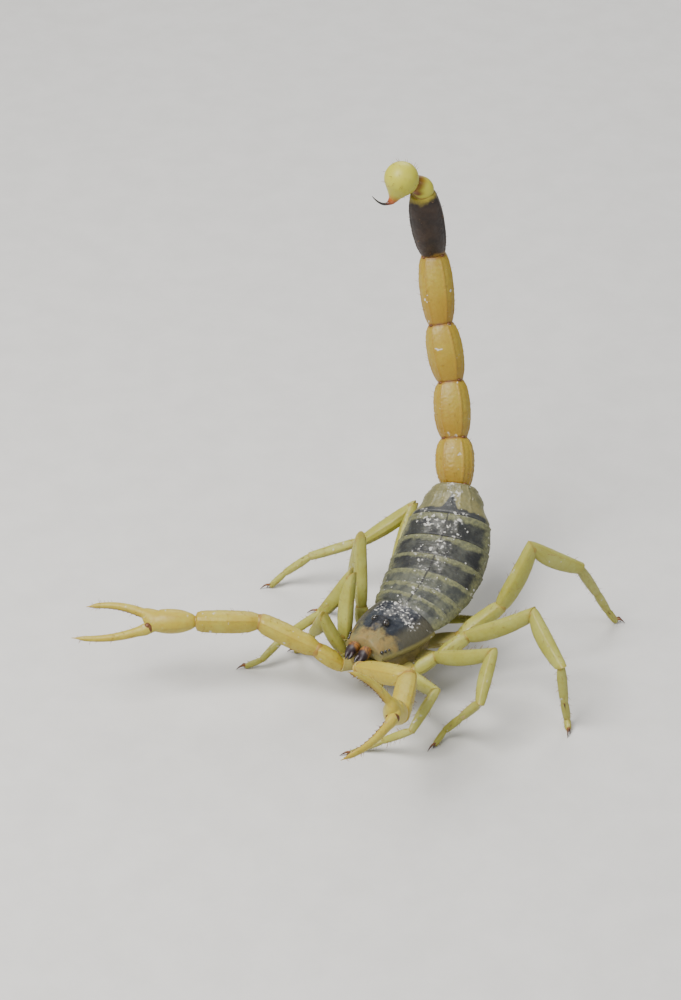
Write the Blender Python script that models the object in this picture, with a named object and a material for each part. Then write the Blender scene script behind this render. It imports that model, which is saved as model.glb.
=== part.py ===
"""Deathstalker scorpion, life size, as a still museum model in a defensive stance.

The animal stands on its eight legs with its tail raised over its back, one pedipalp
stretched out to its right and the other raised in front of it with an open claw.
Lengths below are in millimetres; meshes are made in metres.
+Z is up, the floor is at Z = 0, and the raised tail points along +Y.
"""
import math

import bmesh
import bpy
from mathutils import Vector

MM = 0.001
GAP = 0.3                                # clearance kept between neighbouring solids
FLOOR = 0.0                              # level of the flats that the feet rest on

# Where the front part of the body stands, and how it is turned
PROSOMA_CENTRE = Vector((3.434, -2.796, 6.4))
BODY_HEADING = 233.0                     # compass of the face, counted from +X
BODY_PITCH = 2.0                         # the rear end is the higher one
# The shield and the back over the hips: how far to the left and up, and how the face is tipped
SHIELD_SHIFT = (-0.15, 1.3)
SHIELD_PITCH = -2.0                      # the face is the higher end

# Front part of the body
CARAPACE_LENGTH = 8.0
CARAPACE_FRONT_WIDTH = 5.2
CARAPACE_REAR_WIDTH = 8.8
CARAPACE_RISE = 2.0                      # dome height over the body's centre line
CARAPACE_BRIM = -0.75                    # level of the shield's lower rim
EYE_MOUND = (0.9, 1.15, 0.62)            # distance ahead of centre, half length, height
MEDIAN_EYE_RADIUS = 0.42
# Under the shield: distance ahead of its centre, half width, thickness
BREAST_FORM = ((4.6, 1.5, 1.9), (3.4, 2.4, 2.6), (0.5, 3.4, 3.1), (-3.5, 3.7, 3.1), (-7.4, 2.4, 2.0))

# Seven body segments: length along the back of each
SEGMENT_LENGTHS = (1.45, 1.95, 2.4, 2.8, 3.1, 3.5, 4.9)
BACK_HEADINGS = (53.0, 81.1)             # compass of the back line, front and rear
BACK_RISES = (0.0, 40.0)                 # climb of the back line, front and rear
BACK_TURN_EASE = 0.6                     # power of the share: the back turns most at its front
# Along the back: share of length, half width, height of back, depth of belly
BODY_FORM = (
    (0.00, 4.50, 1.95, 0.75),
    (0.12, 4.95, 2.25, 0.90),
    (0.26, 5.45, 2.50, 2.05),
    (0.45, 5.65, 2.70, 3.15),
    (0.62, 5.45, 2.70, 3.30),
    (0.76, 4.90, 2.60, 2.90),
    (0.90, 3.60, 2.35, 2.40),
    (1.00, 2.55, 2.00, 2.05),
)

# Tail segments: length, width, depth, compass, climb
TAIL = (
    (5.9, 4.6, 4.2, 92.0, 51.0),
    (6.9, 4.4, 4.0, 97.0, 57.0),
    (7.0, 4.3, 3.9, 112.0, 62.0),
    (8.5, 4.1, 3.7, 105.0, 65.0),
    (9.2, 4.1, 3.5, 228.0, 76.0),
)
# Compass places of the keels round a tail segment, counted from the right side
KEELS_FRONT = (12, 58, 122, 168, 205, 248, 292, 335)
KEELS_FIRST = (0, 25, 60, 120, 155, 180, 210, 250, 290, 330)
KEELS_LAST = (20, 160, 215, 270, 325)
# Venom bulb and sting, in the upright plane that the sting points along: for each ring
# the distance forward of the tail's end, the height over it, the radius and the lean
TELSON_HEADING = 205.0
BULB = (
    (0.70, 2.55, 0.60, -5.0),
    (1.05, 2.62, 1.35, -8.0),
    (1.70, 2.55, 1.88, -12.0),
    (2.50, 2.38, 2.12, -18.0),
    (3.10, 1.98, 1.90, -32.0),
    (3.60, 1.45, 1.45, -48.0),
    (3.95, 0.90, 0.98, -62.0),
    (4.12, 0.42, 0.66, -72.0),
)
BULB_NECK = ((0.32, 0.75, 1.08, 64.0), (0.80, 1.45, 1.30, 52.0), (1.60, 2.05, 1.20, 42.0))
NECK_RADIUS = 1.0
STING_START = (4.20, 0.12)
STING_BEND = (4.95, -0.85)
STING_TIP = (6.55, 1.05)

LEG_THICKNESS = {1: 1.45, 2: 1.65, 3: 1.8, 4: 1.9}
# Where each hip leaves the underside: ahead of centre, out to the side, above centre
HIPS = {
    1: (3.0, 3.4, -1.5),
    2: (0.6, 4.6, -1.6),
    3: (-2.9, 5.4, -1.6),
    4: (-7.2, 5.4, -1.4),
}
# Each leg from hip to toe, front pair first. For trochanter, femur, patella, tibia,
# basitarsus and tarsus: length, turn outward from straight ahead, and climb.
LEGS = {
    ("left", 1): (
        (2.4, 97, 25), (5.0, 69, 10), (5.2, 0, -31), (4.0, -70, -34), (2.5, -60, -30), (1.7, -35, -9),
    ),
    ("left", 2): (
        (2.9, 143, 29), (8.5, 90, 27), (5.9, 20, -32), (4.9, -104, -53), (2.7, -52, -46), (2.1, 0, -20),
    ),
    ("left", 3): (
        (4.1, 150, 28), (8.8, 113, 31), (7.5, 62, -22), (4.9, 140, -83), (2.8, 150, -79), (1.4, 40, -36),
    ),
    ("left", 4): (
        (6.0, 152, 28), (8.0, 155, 60), (7.4, 145, -34), (6.3, 172, -57), (3.9, 160, -61), (2.0, 145, -51),
    ),
    ("right", 1): (
        (1.1, 21, 57), (5.0, 61, 64), (5.2, 120, -54), (4.0, 125, -55), (2.4, 115, -52), (1.1, 85, -25),
    ),
    ("right", 2): (
        (1.8, 3, 53), (6.8, 153, 61), (5.9, 54, -57), (6.2, 58, -41), (3.6, 20, -34), (2.2, 50, -26),
    ),
    ("right", 3): (
        (2.0, 132, 54), (7.8, 141, 66), (5.8, 100, -76), (4.9, 99, -61), (3.4, 97, -53), (1.4, 65, -38),
    ),
    ("right", 4): (
        (6.5, 155, 6), (7.85, 161, 35.7), (7.0, 34, -28), (7.1, 60, -24), (4.0, 54, -39), (2.5, 35, -39),
    ),
}
# How thick and how high each of the six leg pieces is, as shares of the leg's thickness
LEG_WIDTHS = (1.0, 0.9, 0.86, 0.56, 0.46, 0.4)
LEG_HEIGHTS = (1.0, 1.12, 1.12, 0.66, 0.56, 0.46)
# Middle of the toe over the floor, and its size: the rest of it is cut flat by the floor
TOE_LEVEL = 0.2
TOE_RADIUS = 0.26
# Where each hip plate and each palp base starts inside the underside
HIP_STARTS = {1: 1.6, 2: 0.6, 3: -1.0, 4: -3.2}
HIP_START_OUT = 0.9
PALP_START = (2.2, 1.3)

# Pedipalps: root, and for trochanter, femur, patella and hand as for the legs
PALP_ROOT = (5.1, 2.6, -1.2)
PALP_PIECES = {
    "left": ((4.2, -7, 51), (7.1, 86, 18), (7.6, 29, 6), (5.3, 22, 41)),
    "right": ((3.2, 69, 29), (7.4, 71, 19), (7.3, 50, 3), (5.7, 51, 2)),
}
# Fingers: the same for the fixed and for the movable one
FINGERS = {
    "left": ((7.0, -46, 50), (8.4, -1, -5)),
    "right": ((7.1, 63, 7), (8.5, 42, -5)),
}
PALP_WIDTHS = (1.9, 2.3, 2.45, 2.7)
FINGER_THICKNESS = 1.25
FINGER_BOW = 0.5
# Along the hand: share of length, level of its two edges over the axis, half thickness
HAND_FORM = (
    (0.12, 0.95, -0.95, 0.90),
    (0.35, 1.30, -1.30, 1.22),
    (0.60, 1.38, -1.38, 1.25),
    (0.82, 1.34, -1.20, 1.08),
    (0.93, 1.28, -0.75, 0.85),
    (1.00, 1.22, 0.12, 0.62),
)

COLOURS = {
    "shield": ((0.36, 0.24, 0.06), 0.45),
    "back": ((0.11, 0.10, 0.05), 0.50),
    "amber": ((0.62, 0.36, 0.05), 0.42),
    "lemon": ((0.66, 0.52, 0.10), 0.42),
    "dusk": ((0.07, 0.05, 0.03), 0.40),
    "claw": ((0.20, 0.05, 0.01), 0.30),
    "eye": ((0.01, 0.01, 0.01), 0.08),
}


def direction(heading, climb):
    """Unit vector for a compass angle from +X and a climb over the floor."""
    turn, rise = math.radians(heading), math.radians(climb)
    level = math.cos(rise)
    return Vector((level * math.cos(turn), level * math.sin(turn), math.sin(rise)))


FORWARD = direction(BODY_HEADING, -BODY_PITCH)
LEFT = direction(BODY_HEADING + 90.0, 0.0)
UP = FORWARD.cross(LEFT)
SIDES = {"left": 1.0, "right": -1.0}


def on_body(ahead, left, above):
    """Point given by its distances from the centre of the front part of the body."""
    return PROSOMA_CENTRE + FORWARD * ahead + LEFT * left + UP * above


SHIELD_CENTRE = on_body(0.0, *SHIELD_SHIFT)
SHIELD_FORWARD = direction(BODY_HEADING, -SHIELD_PITCH)
SHIELD_UP = SHIELD_FORWARD.cross(LEFT)


def on_shield(ahead, left, above):
    """Point given by its distances from the centre of the shield."""
    return SHIELD_CENTRE + SHIELD_FORWARD * ahead + LEFT * left + SHIELD_UP * above


def body_direction(side, turn, climb):
    """Direction that turns outward from straight ahead on one side of the body."""
    return direction(BODY_HEADING + SIDES[side] * turn, climb)


def blend_rows(rows, share):
    """Values of a table read at a share of the length, eased between its rows."""
    for low, high in zip(rows[:-1], rows[1:]):
        if share <= high[0]:
            part = (share - low[0]) / (high[0] - low[0])
            ease = part * part * (3.0 - 2.0 * part)
            return [a + (b - a) * ease for a, b in zip(low[1:], high[1:])]
    return list(rows[-1][1:])


def squarish(angle, power):
    """Radius of a rounded square of half size one in the given direction."""
    across = abs(math.cos(angle)) ** power
    along = abs(math.sin(angle)) ** power
    return (across + along) ** (-1.0 / power)


def round_outline(count, power=2.0):
    """Cross-section as a list of angle, radius and whether a keel runs there."""
    angles = [2.0 * math.pi * step / count for step in range(count)]
    return [(angle, squarish(angle, power), False) for angle in angles]


def keeled_outline(keels, power=2.7, ridge=1.03, hollow=0.955):
    """Cross-section with a raised keel at each given angle and a valley between."""
    outline = []
    for here, after in zip(keels, tuple(keels[1:]) + (keels[0] + 360,)):
        valley = 0.5 * (here + after)
        for degrees, swell, keel in ((here, ridge, True), (valley, hollow, False)):
            angle = math.radians(degrees)
            outline.append((angle, squarish(angle, power) * swell, keel))
    return outline


def cross_frame(axis, side_hint):
    """Side and up directions square to an axis, with the side near the hint."""
    side = (side_hint - axis * side_hint.dot(axis)).normalized()
    return side, side.cross(axis)


def piece_rings(start, end, plane_in, plane_out, stations, side_hint, outline, grain=0.0):
    """Rings of one straight piece, leaned so that its ends lie in the joint planes."""
    axis = (end - start).normalized()
    side, up = cross_frame(axis, side_hint)
    first = start + axis * (0.5 * GAP / axis.dot(plane_in))
    last = end - axis * (0.5 * GAP / axis.dot(plane_out))
    span = (last - first).length
    rings = []
    for number, (share, half_width, half_height) in enumerate(stations):
        near_start = max(0.0, 1.0 - share / 0.4)
        near_end = max(0.0, 1.0 - (1.0 - share) / 0.4)
        ring = []
        for angle, swell, keel in outline:
            bump = 1.0 + (grain if keel and number % 2 else 0.0)
            reach = swell * bump
            offset = side * (half_width * reach * math.cos(angle))
            offset += up * (half_height * reach * math.sin(angle))
            lean = -near_start * offset.dot(plane_in) / axis.dot(plane_in)
            lean -= near_end * offset.dot(plane_out) / axis.dot(plane_out)
            ring.append(first + axis * (span * share + lean) + offset)
        rings.append(ring)
    return rings


def joint_plane(before, after):
    """Normal of the plane that halves the angle between two directions."""
    return (before + after).normalized()


def material(name):
    """Finish of one colour, made once and shared by the pieces that have it."""
    found = bpy.data.materials.get(name)
    if found:
        return found
    colour, roughness = COLOURS[name]
    made = bpy.data.materials.new(name)
    made.use_nodes = True
    shader = made.node_tree.nodes["Principled BSDF"]
    shader.inputs["Base Color"].default_value = (*colour, 1.0)
    shader.inputs["Roughness"].default_value = roughness
    shader.inputs["Metallic"].default_value = 0.0
    return made


def solid(name, rings, finish, floor=None):
    """Closed body through a row of rings, with flat faces over the first and last."""
    mesh = bpy.data.meshes.new(name)
    shape = bmesh.new()
    rows = []
    for ring in rings:
        if floor is not None:
            ring = [Vector((p.x, p.y, max(p.z, floor))) for p in ring]
        rows.append([shape.verts.new(p * MM) for p in ring])
    count = len(rows[0])
    for near, far in zip(rows[:-1], rows[1:]):
        for i in range(count):
            j = (i + 1) % count
            shape.faces.new((near[i], near[j], far[j], far[i]))
    shape.faces.new(tuple(reversed(rows[0])))
    shape.faces.new(tuple(rows[-1]))
    bmesh.ops.recalc_face_normals(shape, faces=shape.faces)
    bmesh.ops.triangulate(shape, faces=shape.faces)
    shape.to_mesh(mesh)
    shape.free()
    mesh.shade_smooth()
    mesh.set_sharp_from_angle(angle=math.radians(40.0))
    item = bpy.data.objects.new(name, mesh)
    item.data.materials.append(material(finish))
    bpy.context.scene.collection.objects.link(item)
    return item


def keep_largest(item):
    """Leaves only the biggest closed surface of a piece."""
    shape = bmesh.new()
    shape.from_mesh(item.data)
    loose = set(shape.verts)
    groups = []
    while loose:
        front = [loose.pop()]
        group = set(front)
        while front:
            for edge in front.pop().link_edges:
                for vert in edge.verts:
                    if vert in loose:
                        loose.discard(vert)
                        group.add(vert)
                        front.append(vert)
        groups.append(group)
    keep = max(groups, key=len)
    bmesh.ops.delete(shape, geom=[v for v in shape.verts if v not in keep], context="VERTS")
    bmesh.ops.triangulate(shape, faces=shape.faces)
    shape.to_mesh(item.data)
    shape.free()


def fuse(item, extras):
    """Joins smaller closed pieces to a body, so that they become one closed solid."""
    group = bpy.data.collections.new("extras")
    for extra in extras:
        group.objects.link(extra)
    union = item.modifiers.new("union", "BOOLEAN")
    union.operation = "UNION"
    union.operand_type = "COLLECTION"
    union.collection = group
    view = bpy.context.evaluated_depsgraph_get()
    joined = bpy.data.meshes.new_from_object(item.evaluated_get(view))
    item.modifiers.remove(union)
    item.data = joined
    for extra in extras:
        bpy.data.objects.remove(extra)
    bpy.data.collections.remove(group)
    keep_largest(item)
    item.data.shade_smooth()
    item.data.set_sharp_from_angle(angle=math.radians(40.0))
    return item


def cone(name, points, radii, finish, sides=6, floor=None):
    """Tapered curved spine through a few points."""
    hint = Vector((0.31, 0.17, 0.93))
    rings = []
    for number, (centre, radius) in enumerate(zip(points, radii)):
        after = points[min(number + 1, len(points) - 1)]
        before = points[max(number - 1, 0)]
        side, up = cross_frame((after - before).normalized(), hint)
        ring = []
        for step in range(sides):
            angle = 2.0 * math.pi * step / sides
            ring.append(centre + (side * math.cos(angle) + up * math.sin(angle)) * radius)
        rings.append(ring)
    return solid(name, rings, finish, floor)


def bead(name, centre, radius, axis, finish, stretch=1.0, sides=8, rows=5):
    """Small rounded knob whose poles lie along an axis."""
    shares = [row / (rows - 1) for row in range(rows)]
    angles = [math.radians(8.0 + 164.0 * share) for share in shares]
    points = [centre - axis * (radius * stretch * math.cos(angle)) for angle in angles]
    return cone(name, points, [radius * math.sin(angle) for angle in angles], finish, sides)


def carapace():
    """Shield over the front of the body, with its eye mound, keels and side eyes."""
    shares = (-1.0, -0.94, -0.82, -0.66, -0.5, -0.36, -0.24, -0.12)
    shares += (0.0,) + tuple(-share for share in reversed(shares))
    rows = 17
    ahead_eye, mound_reach, mound_height = EYE_MOUND
    rings = []
    for row in range(rows):
        along = row / (rows - 1)
        ahead = CARAPACE_LENGTH * (0.5 - along)
        widen = math.sin(0.5 * math.pi * min(1.0, along * 1.12))
        half = 0.5 * (CARAPACE_FRONT_WIDTH + (CARAPACE_REAR_WIDTH - CARAPACE_FRONT_WIDTH) * widen)
        rise = CARAPACE_RISE * (0.52 + 0.48 * min(1.0, along * 2.2) ** 0.7)
        if row == rows - 1:
            rise -= 0.25
        ring = []
        for share in shares:
            dome = (1.0 - abs(share) ** 2.6) ** 0.75
            above = CARAPACE_BRIM + 0.35 + (rise - CARAPACE_BRIM - 0.35) * dome
            near_mound = max(0.0, 1.0 - ((ahead - ahead_eye) / mound_reach) ** 2)
            above += mound_height * near_mound * max(0.0, 1.0 - (share / 0.3) ** 2)
            rear_keel = abs(share) in (0.36, 0.66) and 0.5 < along < 0.97
            front_keel = abs(share) == 0.24 and 0.08 < along < 0.6
            if rear_keel or front_keel:
                above += 0.16 if row % 2 else 0.08
            notch = 0.22 * max(0.0, 1.0 - abs(share) / 0.4) if row == 0 else 0.0
            ring.append(on_shield(ahead - notch, share * half, above))
        for share in (0.94, 0.6, 0.2, -0.2, -0.6, -0.94):
            ring.append(on_shield(ahead, share * half, CARAPACE_BRIM))
        rings.append(ring)
    shield = solid("carapace", rings, "shield")
    side_eyes = []
    for side, sign in SIDES.items():
        for place in range(3):
            spot = on_shield(3.72 - 0.42 * place, sign * (2.38 + 0.2 * place), 0.38 + 0.05 * place)
            axis = (LEFT * sign * 0.7 + SHIELD_UP * 0.6 + SHIELD_FORWARD * 0.3).normalized()
            radius = 0.26 - 0.03 * place
            side_eyes.append(bead(f"side_eye_{side}_{place}", spot, radius, axis, "eye", sides=7))
    return fuse(shield, side_eyes)


def median_eyes():
    """The two large eyes, one on each flank of the eye mound."""
    ahead, _, height = EYE_MOUND
    for side, sign in SIDES.items():
        axis = (LEFT * sign * 0.8 + SHIELD_UP * 0.6).normalized()
        level = CARAPACE_RISE + height - 0.08
        spot = on_shield(ahead, sign * 0.98, level)
        bead(f"eye_{side}", spot, MEDIAN_EYE_RADIUS, axis, "eye", 0.72, sides=12, rows=6)


def hip_start(side, number):
    """Point inside the underside where a hip plate starts."""
    return on_body(HIP_STARTS[number], SIDES[side] * HIP_START_OUT, CARAPACE_BRIM - GAP - 1.0)


def palp_start(side):
    """Point inside the underside where the base of a pedipalp starts."""
    return on_body(PALP_START[0], SIDES[side] * PALP_START[1], CARAPACE_BRIM - GAP - 0.75)


def underside():
    """Hip plates and breast plate under the shield, fused into one piece."""
    top = CARAPACE_BRIM - GAP
    plates = []
    outline = round_outline(12, 3.2)
    rings = []
    for ahead, half, thick in BREAST_FORM:
        ring = []
        for angle, swell, _ in outline:
            across = half * swell * math.cos(angle)
            lift = min(0.0, -0.5 * thick + 0.5 * thick * swell * math.sin(angle))
            ring.append(on_shield(ahead, across, top + lift))
        rings.append(ring)
    body = solid("underside", rings, "lemon")
    for side, sign in SIDES.items():
        for number, (ahead, out, above) in HIPS.items():
            thick = 0.5 * LEG_THICKNESS[number]
            steps = ((0.0, 0.5, 0.45), (0.3, 0.9 * thick, 0.5), (0.7, 1.1 * thick, 0.52))
            steps += ((1.0, 0.8 * thick, 0.56),)
            outer = on_body(ahead, sign * out, above)
            beyond = body_direction(side, *LEGS[(side, number)][0][1:])
            plates.append(hip_plate(f"hip_{number}", hip_start(side, number), outer, beyond, steps))
        tip = on_body(PALP_ROOT[0], sign * PALP_ROOT[1], PALP_ROOT[2])
        steps = ((0.0, 0.8, 0.5), (0.45, 1.0, 0.5), (0.75, 0.9, 0.55), (1.0, 0.78, 0.72))
        beyond = body_direction(side, *PALP_PIECES[side][0][1:])
        plates.append(hip_plate("palp_hip", palp_start(side), tip, beyond, steps))
    return fuse(body, plates)


def hip_plate(name, inner, outer, beyond, steps):
    """Plate from inside the underside to a joint whose next piece runs beyond it."""
    step = (outer - inner).normalized()
    plane = joint_plane(step, beyond)
    rings = piece_rings(inner, outer, step, plane, steps, UP.cross(step), round_outline(8, 2.6))
    return solid(name, rings, "lemon")


def chelicerae():
    """The pair of short pincers in front of the mouth."""
    for side, sign in SIDES.items():
        def at(ahead, left, above):
            return on_shield(ahead, sign * left, above)
        stations = (
            (4.32, 0.80, 0.30, 0.50, 0.50),
            (4.60, 0.80, 0.30, 0.62, 0.66),
            (5.10, 0.82, 0.24, 0.64, 0.68),
            (5.55, 0.84, 0.12, 0.52, 0.54),
            (5.90, 0.96, -0.06, 0.29, 0.28),
            (6.25, 0.88, -0.22, 0.17, 0.17),
            (6.50, 0.68, -0.36, 0.05, 0.05),
        )
        rings = []
        for ahead, left, above, wide, high in stations:
            ring = []
            for angle, swell, _ in round_outline(10, 2.3):
                across = wide * swell * math.cos(angle)
                ring.append(at(ahead, left + across, above + high * swell * math.sin(angle)))
            rings.append(ring)
        hand = solid(f"chelicera_{side}", rings, "amber")
        curve = [at(5.4, 0.6, 0.1), at(5.85, 0.42, -0.06), at(6.2, 0.4, -0.2), at(6.45, 0.5, -0.32)]
        finger = cone("finger", curve, (0.36, 0.27, 0.17, 0.04), "claw", 7)
        fuse(hand, [finger])


def back_frames(step=0.1):
    """Centre line of the seven body segments, marched in small steps from the shield."""
    total = sum(SEGMENT_LENGTHS)
    point = on_shield(-0.5 * (CARAPACE_LENGTH + GAP), 0.0, 0.0)
    frames = []
    for number in range(int(round(total / step)) + 1):
        share = number * step / total
        heading = BACK_HEADINGS[0] + (BACK_HEADINGS[1] - BACK_HEADINGS[0]) * share ** BACK_TURN_EASE
        climb = BACK_RISES[0] + (BACK_RISES[1] - BACK_RISES[0]) * share
        axis = direction(heading, climb)
        side = direction(heading - 90.0, 0.0)
        frames.append((share, point.copy(), axis, side, side.cross(axis)))
        point += axis * step
    return frames


def frame_at(frames, distance, step=0.1):
    """Centre line read at a distance from its front end."""
    number = min(int(distance / step), len(frames) - 1)
    share, point, axis, side, up = frames[number]
    beyond = distance - number * step
    return share + beyond / sum(SEGMENT_LENGTHS), point + axis * beyond, axis, side, up


def body_ring(frames, distance, plump, keels, keel_height):
    """Cross-section of the hind body: a keeled back plate over a rounded belly."""
    share, centre, _, side, up = frame_at(frames, distance)
    half, back, belly = blend_rows(BODY_FORM, share)
    ring = []
    dorsal = (-1.0, -0.93, -0.8, -0.62, -0.44, -0.3, -0.15, 0.0)
    dorsal += tuple(-place for place in reversed(dorsal[:-1]))
    for place in dorsal:
        dome = (1.0 - abs(place) ** 2.4) ** 0.62
        above = back * dome * plump
        if abs(place) in keels and abs(place) < 0.9:
            above += keel_height
        ring.append(centre - side * (place * half * plump) + up * above)
    for step in range(1, 9):
        angle = math.pi * step / 9.0
        across = math.cos(angle) * half * 0.97 * plump
        below = belly * math.sin(angle) ** 0.8 * plump
        ring.append(centre - side * across - up * below)
    return ring


def mesosoma(frames):
    """Seven body segments, each a back plate and a belly plate in one solid."""
    distance = 0.0
    for number, length in enumerate(SEGMENT_LENGTHS, start=1):
        keels = (0.0, 0.3, 0.62) if number in (1, 2, 7) else (0.0, 0.3)
        stations = (0.0, 0.12, 0.4, 0.75, 0.93, 1.0)
        if number == 7:
            stations = (0.0, 0.08, 0.22, 0.4, 0.58, 0.76, 0.9, 1.0)
        rings = []
        for place, share in enumerate(stations):
            reach = distance + 0.5 * GAP + (length - GAP) * share
            plump = 0.965 + 0.045 * math.sin(0.5 * math.pi * min(1.0, share * 1.2))
            plump -= 0.02 if share == 1.0 else 0.0
            height = 0.0 if place in (0, len(stations) - 1) else 0.1 + 0.08 * (place % 2)
            rings.append(body_ring(frames, reach, plump, keels, height))
        solid(f"body_segment_{number}", rings, "back")
        distance += length


def pectines():
    """The pair of combs under the belly, each a slim bar with a row of teeth."""
    teeth = 12
    for side, sign in SIDES.items():
        root = on_body(-8.0, sign * 0.75, -1.5)
        tip = on_body(-10.4, sign * 5.3, -1.0)
        along = (tip - root).normalized()
        length = (tip - root).length
        back = (along.cross(UP) * -sign).normalized()
        if back.dot(FORWARD) > 0.0:
            back = -back
        normal = along.cross(back).normalized()
        pitch = length / teeth
        edge = [(0.0, -0.45), (length * 0.5, -0.6), (length, -0.2)]
        for number in reversed(range(teeth)):
            start = number * pitch
            reach = 1.15 * (0.75 + 0.25 * math.sin(math.pi * (number + 0.5) / teeth))
            edge.append((start + pitch * 0.93, 0.25))
            edge.append((start + pitch * 0.80, 0.25 + reach))
            edge.append((start + pitch * 0.42, 0.25 + reach))
            edge.append((start + pitch * 0.20, 0.25))
        rings = []
        for level in (-0.26, 0.26):
            rings.append([root + along * x + back * y + normal * level for x, y in edge])
        solid(f"pectine_{side}", rings, "lemon")


def barrel_stations(half_width, half_depth, count, waist=0.70, swell=0.06):
    """Sizes along a tail segment: pinched at both ends and fullest behind the middle."""
    rows = []
    for number in range(count):
        share = number / (count - 1)
        body = math.sin(math.pi * (share * 0.94 + 0.03)) ** 0.62
        fullness = waist + (1.0 - waist) * body + swell * share * (1.0 - share)
        rows.append((share, half_width * fullness, half_depth * fullness))
    return rows


def tail(frames):
    """Five tail segments with their keels, the venom bulb and the sting."""
    _, start, before, side, _ = frame_at(frames, sum(SEGMENT_LENGTHS))
    plane = before
    for number, (length, width, depth, heading, climb) in enumerate(TAIL, start=1):
        axis = direction(heading, climb)
        end = start + axis * length
        last = number == len(TAIL)
        next_plane = axis if last else joint_plane(axis, direction(*TAIL[number][3:]))
        keels = KEELS_FIRST if number == 1 else KEELS_LAST if last else KEELS_FRONT
        outline = keeled_outline(keels)
        rows = barrel_stations(0.5 * width, 0.5 * depth, 12)
        side = (side - axis * side.dot(axis)).normalized()
        rings = piece_rings(start, end, plane, next_plane, rows, side, outline, 0.035)
        solid(f"tail_segment_{number}", rings, "dusk" if last else "amber")
        start, plane = end, next_plane
    telson(start, axis)


def telson(joint, tail_axis):
    """Venom bulb, bulging upward because the tail is folded over, and its sting."""
    forward = direction(TELSON_HEADING, 0.0)
    up = Vector((0.0, 0.0, 1.0))
    across = up.cross(forward)

    def bulb_ring(ahead, above, radius, lean):
        """Circle round a point of the upright plane, square to a leaning line."""
        steep = math.radians(lean)
        rise = up * math.cos(steep) - forward * math.sin(steep)
        middle = joint + forward * ahead + up * above
        ring = []
        for angle, swell, _ in round_outline(16, 2.1):
            ring.append(middle + (across * math.cos(angle) + rise * math.sin(angle)) * radius * swell)
        return ring

    bulb = solid("venom_bulb", [bulb_ring(*row) for row in BULB], "lemon")
    wide = (across - tail_axis * across.dot(tail_axis)).normalized()
    deep = wide.cross(tail_axis)
    foot = joint + tail_axis * (0.5 * GAP)
    first = []
    for angle, swell, _ in round_outline(16, 2.1):
        first.append(foot + (wide * math.cos(angle) - deep * math.sin(angle)) * NECK_RADIUS * swell)
    neck = solid("neck", [first] + [bulb_ring(*row) for row in BULB_NECK], "lemon")
    fuse(bulb, [neck])
    points, radii = [], []
    rows = 9
    for step in range(rows):
        share = step / (rows - 1)
        weights = ((1.0 - share) ** 2, 2.0 * share * (1.0 - share), share ** 2)
        spots = zip(weights, (STING_START, STING_BEND, STING_TIP))
        ahead, above = [sum(values) for values in zip(*[(w * a, w * b) for w, (a, b) in spots])]
        points.append(joint + forward * ahead + up * above)
        radii.append(0.55 * (1.0 - share) ** 0.8 + 0.06)
    cone("sting", points, radii, "claw", 10)


def leg_stations(thick, high):
    """Sizes along a leg piece, slimmer at both joints."""
    rows = ((0.0, 0.8), (0.14, 0.86), (0.5, 1.0), (0.84, 0.98), (1.0, 0.8))
    return [(share, 0.5 * thick * size, 0.5 * high * size) for share, size in rows]


def leg(side, number):
    """One leg in three pieces: thigh with trochanter, knee piece, and shin with foot."""
    lengths = [length for length, _, _ in LEGS[(side, number)]]
    steps = [body_direction(side, turn, climb) for _, turn, climb in LEGS[(side, number)]]
    ahead, out, above = HIPS[number]
    joints = [on_body(ahead, SIDES[side] * out, above)]
    for length, step in zip(lengths, steps):
        joints.append(joints[-1] + step * length)
    joints[6].z = TOE_LEVEL
    steps[5] = (joints[6] - joints[5]).normalized()
    hip = (joints[0] - hip_start(side, number)).normalized()
    planes = [joint_plane(hip, steps[0])]
    planes += [joint_plane(steps[i], steps[i + 1]) for i in range(5)] + [steps[5]]
    hint = Vector((0.0, 0.0, 1.0)).cross(joints[3] - joints[0])
    thick = LEG_THICKNESS[number]
    outline = round_outline(8, 2.5)
    pieces = (("thigh", (0, 1)), ("knee", (2,)), ("shin", (3, 4, 5)))
    for name, parts in pieces:
        rings = []
        for part in parts:
            rows = leg_stations(thick * LEG_WIDTHS[part], thick * LEG_HEIGHTS[part])
            if part == 5:
                rows = rows[:3] + [(1.0, TOE_RADIUS, TOE_RADIUS)]
            ends = (joints[part], joints[part + 1], planes[part], planes[part + 1])
            made = piece_rings(*ends, rows, hint, outline)
            rings += made if part == parts[0] else made[1:]
        item = solid(f"leg_{side}_{number}_{name}", rings, "lemon", FLOOR if name == "shin" else None)
        if name == "shin":
            finish_foot(item, joints, steps, hint.normalized(), number)


def finish_foot(item, joints, steps, across, number):
    """Pair of claws at the toe, and the spur at the end of the shin on hind legs."""
    toe = joints[6]
    level = Vector((steps[5].x, steps[5].y, 0.0)).normalized()
    extras = []
    for sign in (-1.0, 1.0):
        root = toe - steps[5] * 0.35
        bend = root + level * 0.6 + across * sign * 0.22 + Vector((0.0, 0.0, 0.12))
        tip = root + level * 1.15 + across * sign * 0.42
        tip.z = FLOOR + 0.04
        extras.append(cone("claw", [root, bend, tip], (0.15, 0.13, 0.05), "claw", 5, FLOOR))
    if number >= 3:
        heel = joints[4] - steps[3] * 0.35
        spur = heel + steps[3] + level * 0.5
        spur.z = max(spur.z, FLOOR + 0.5)
        extras.append(cone("spur", [heel, spur], (0.2, 0.05), "claw", 5, FLOOR))
    fuse(item, extras)


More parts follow.
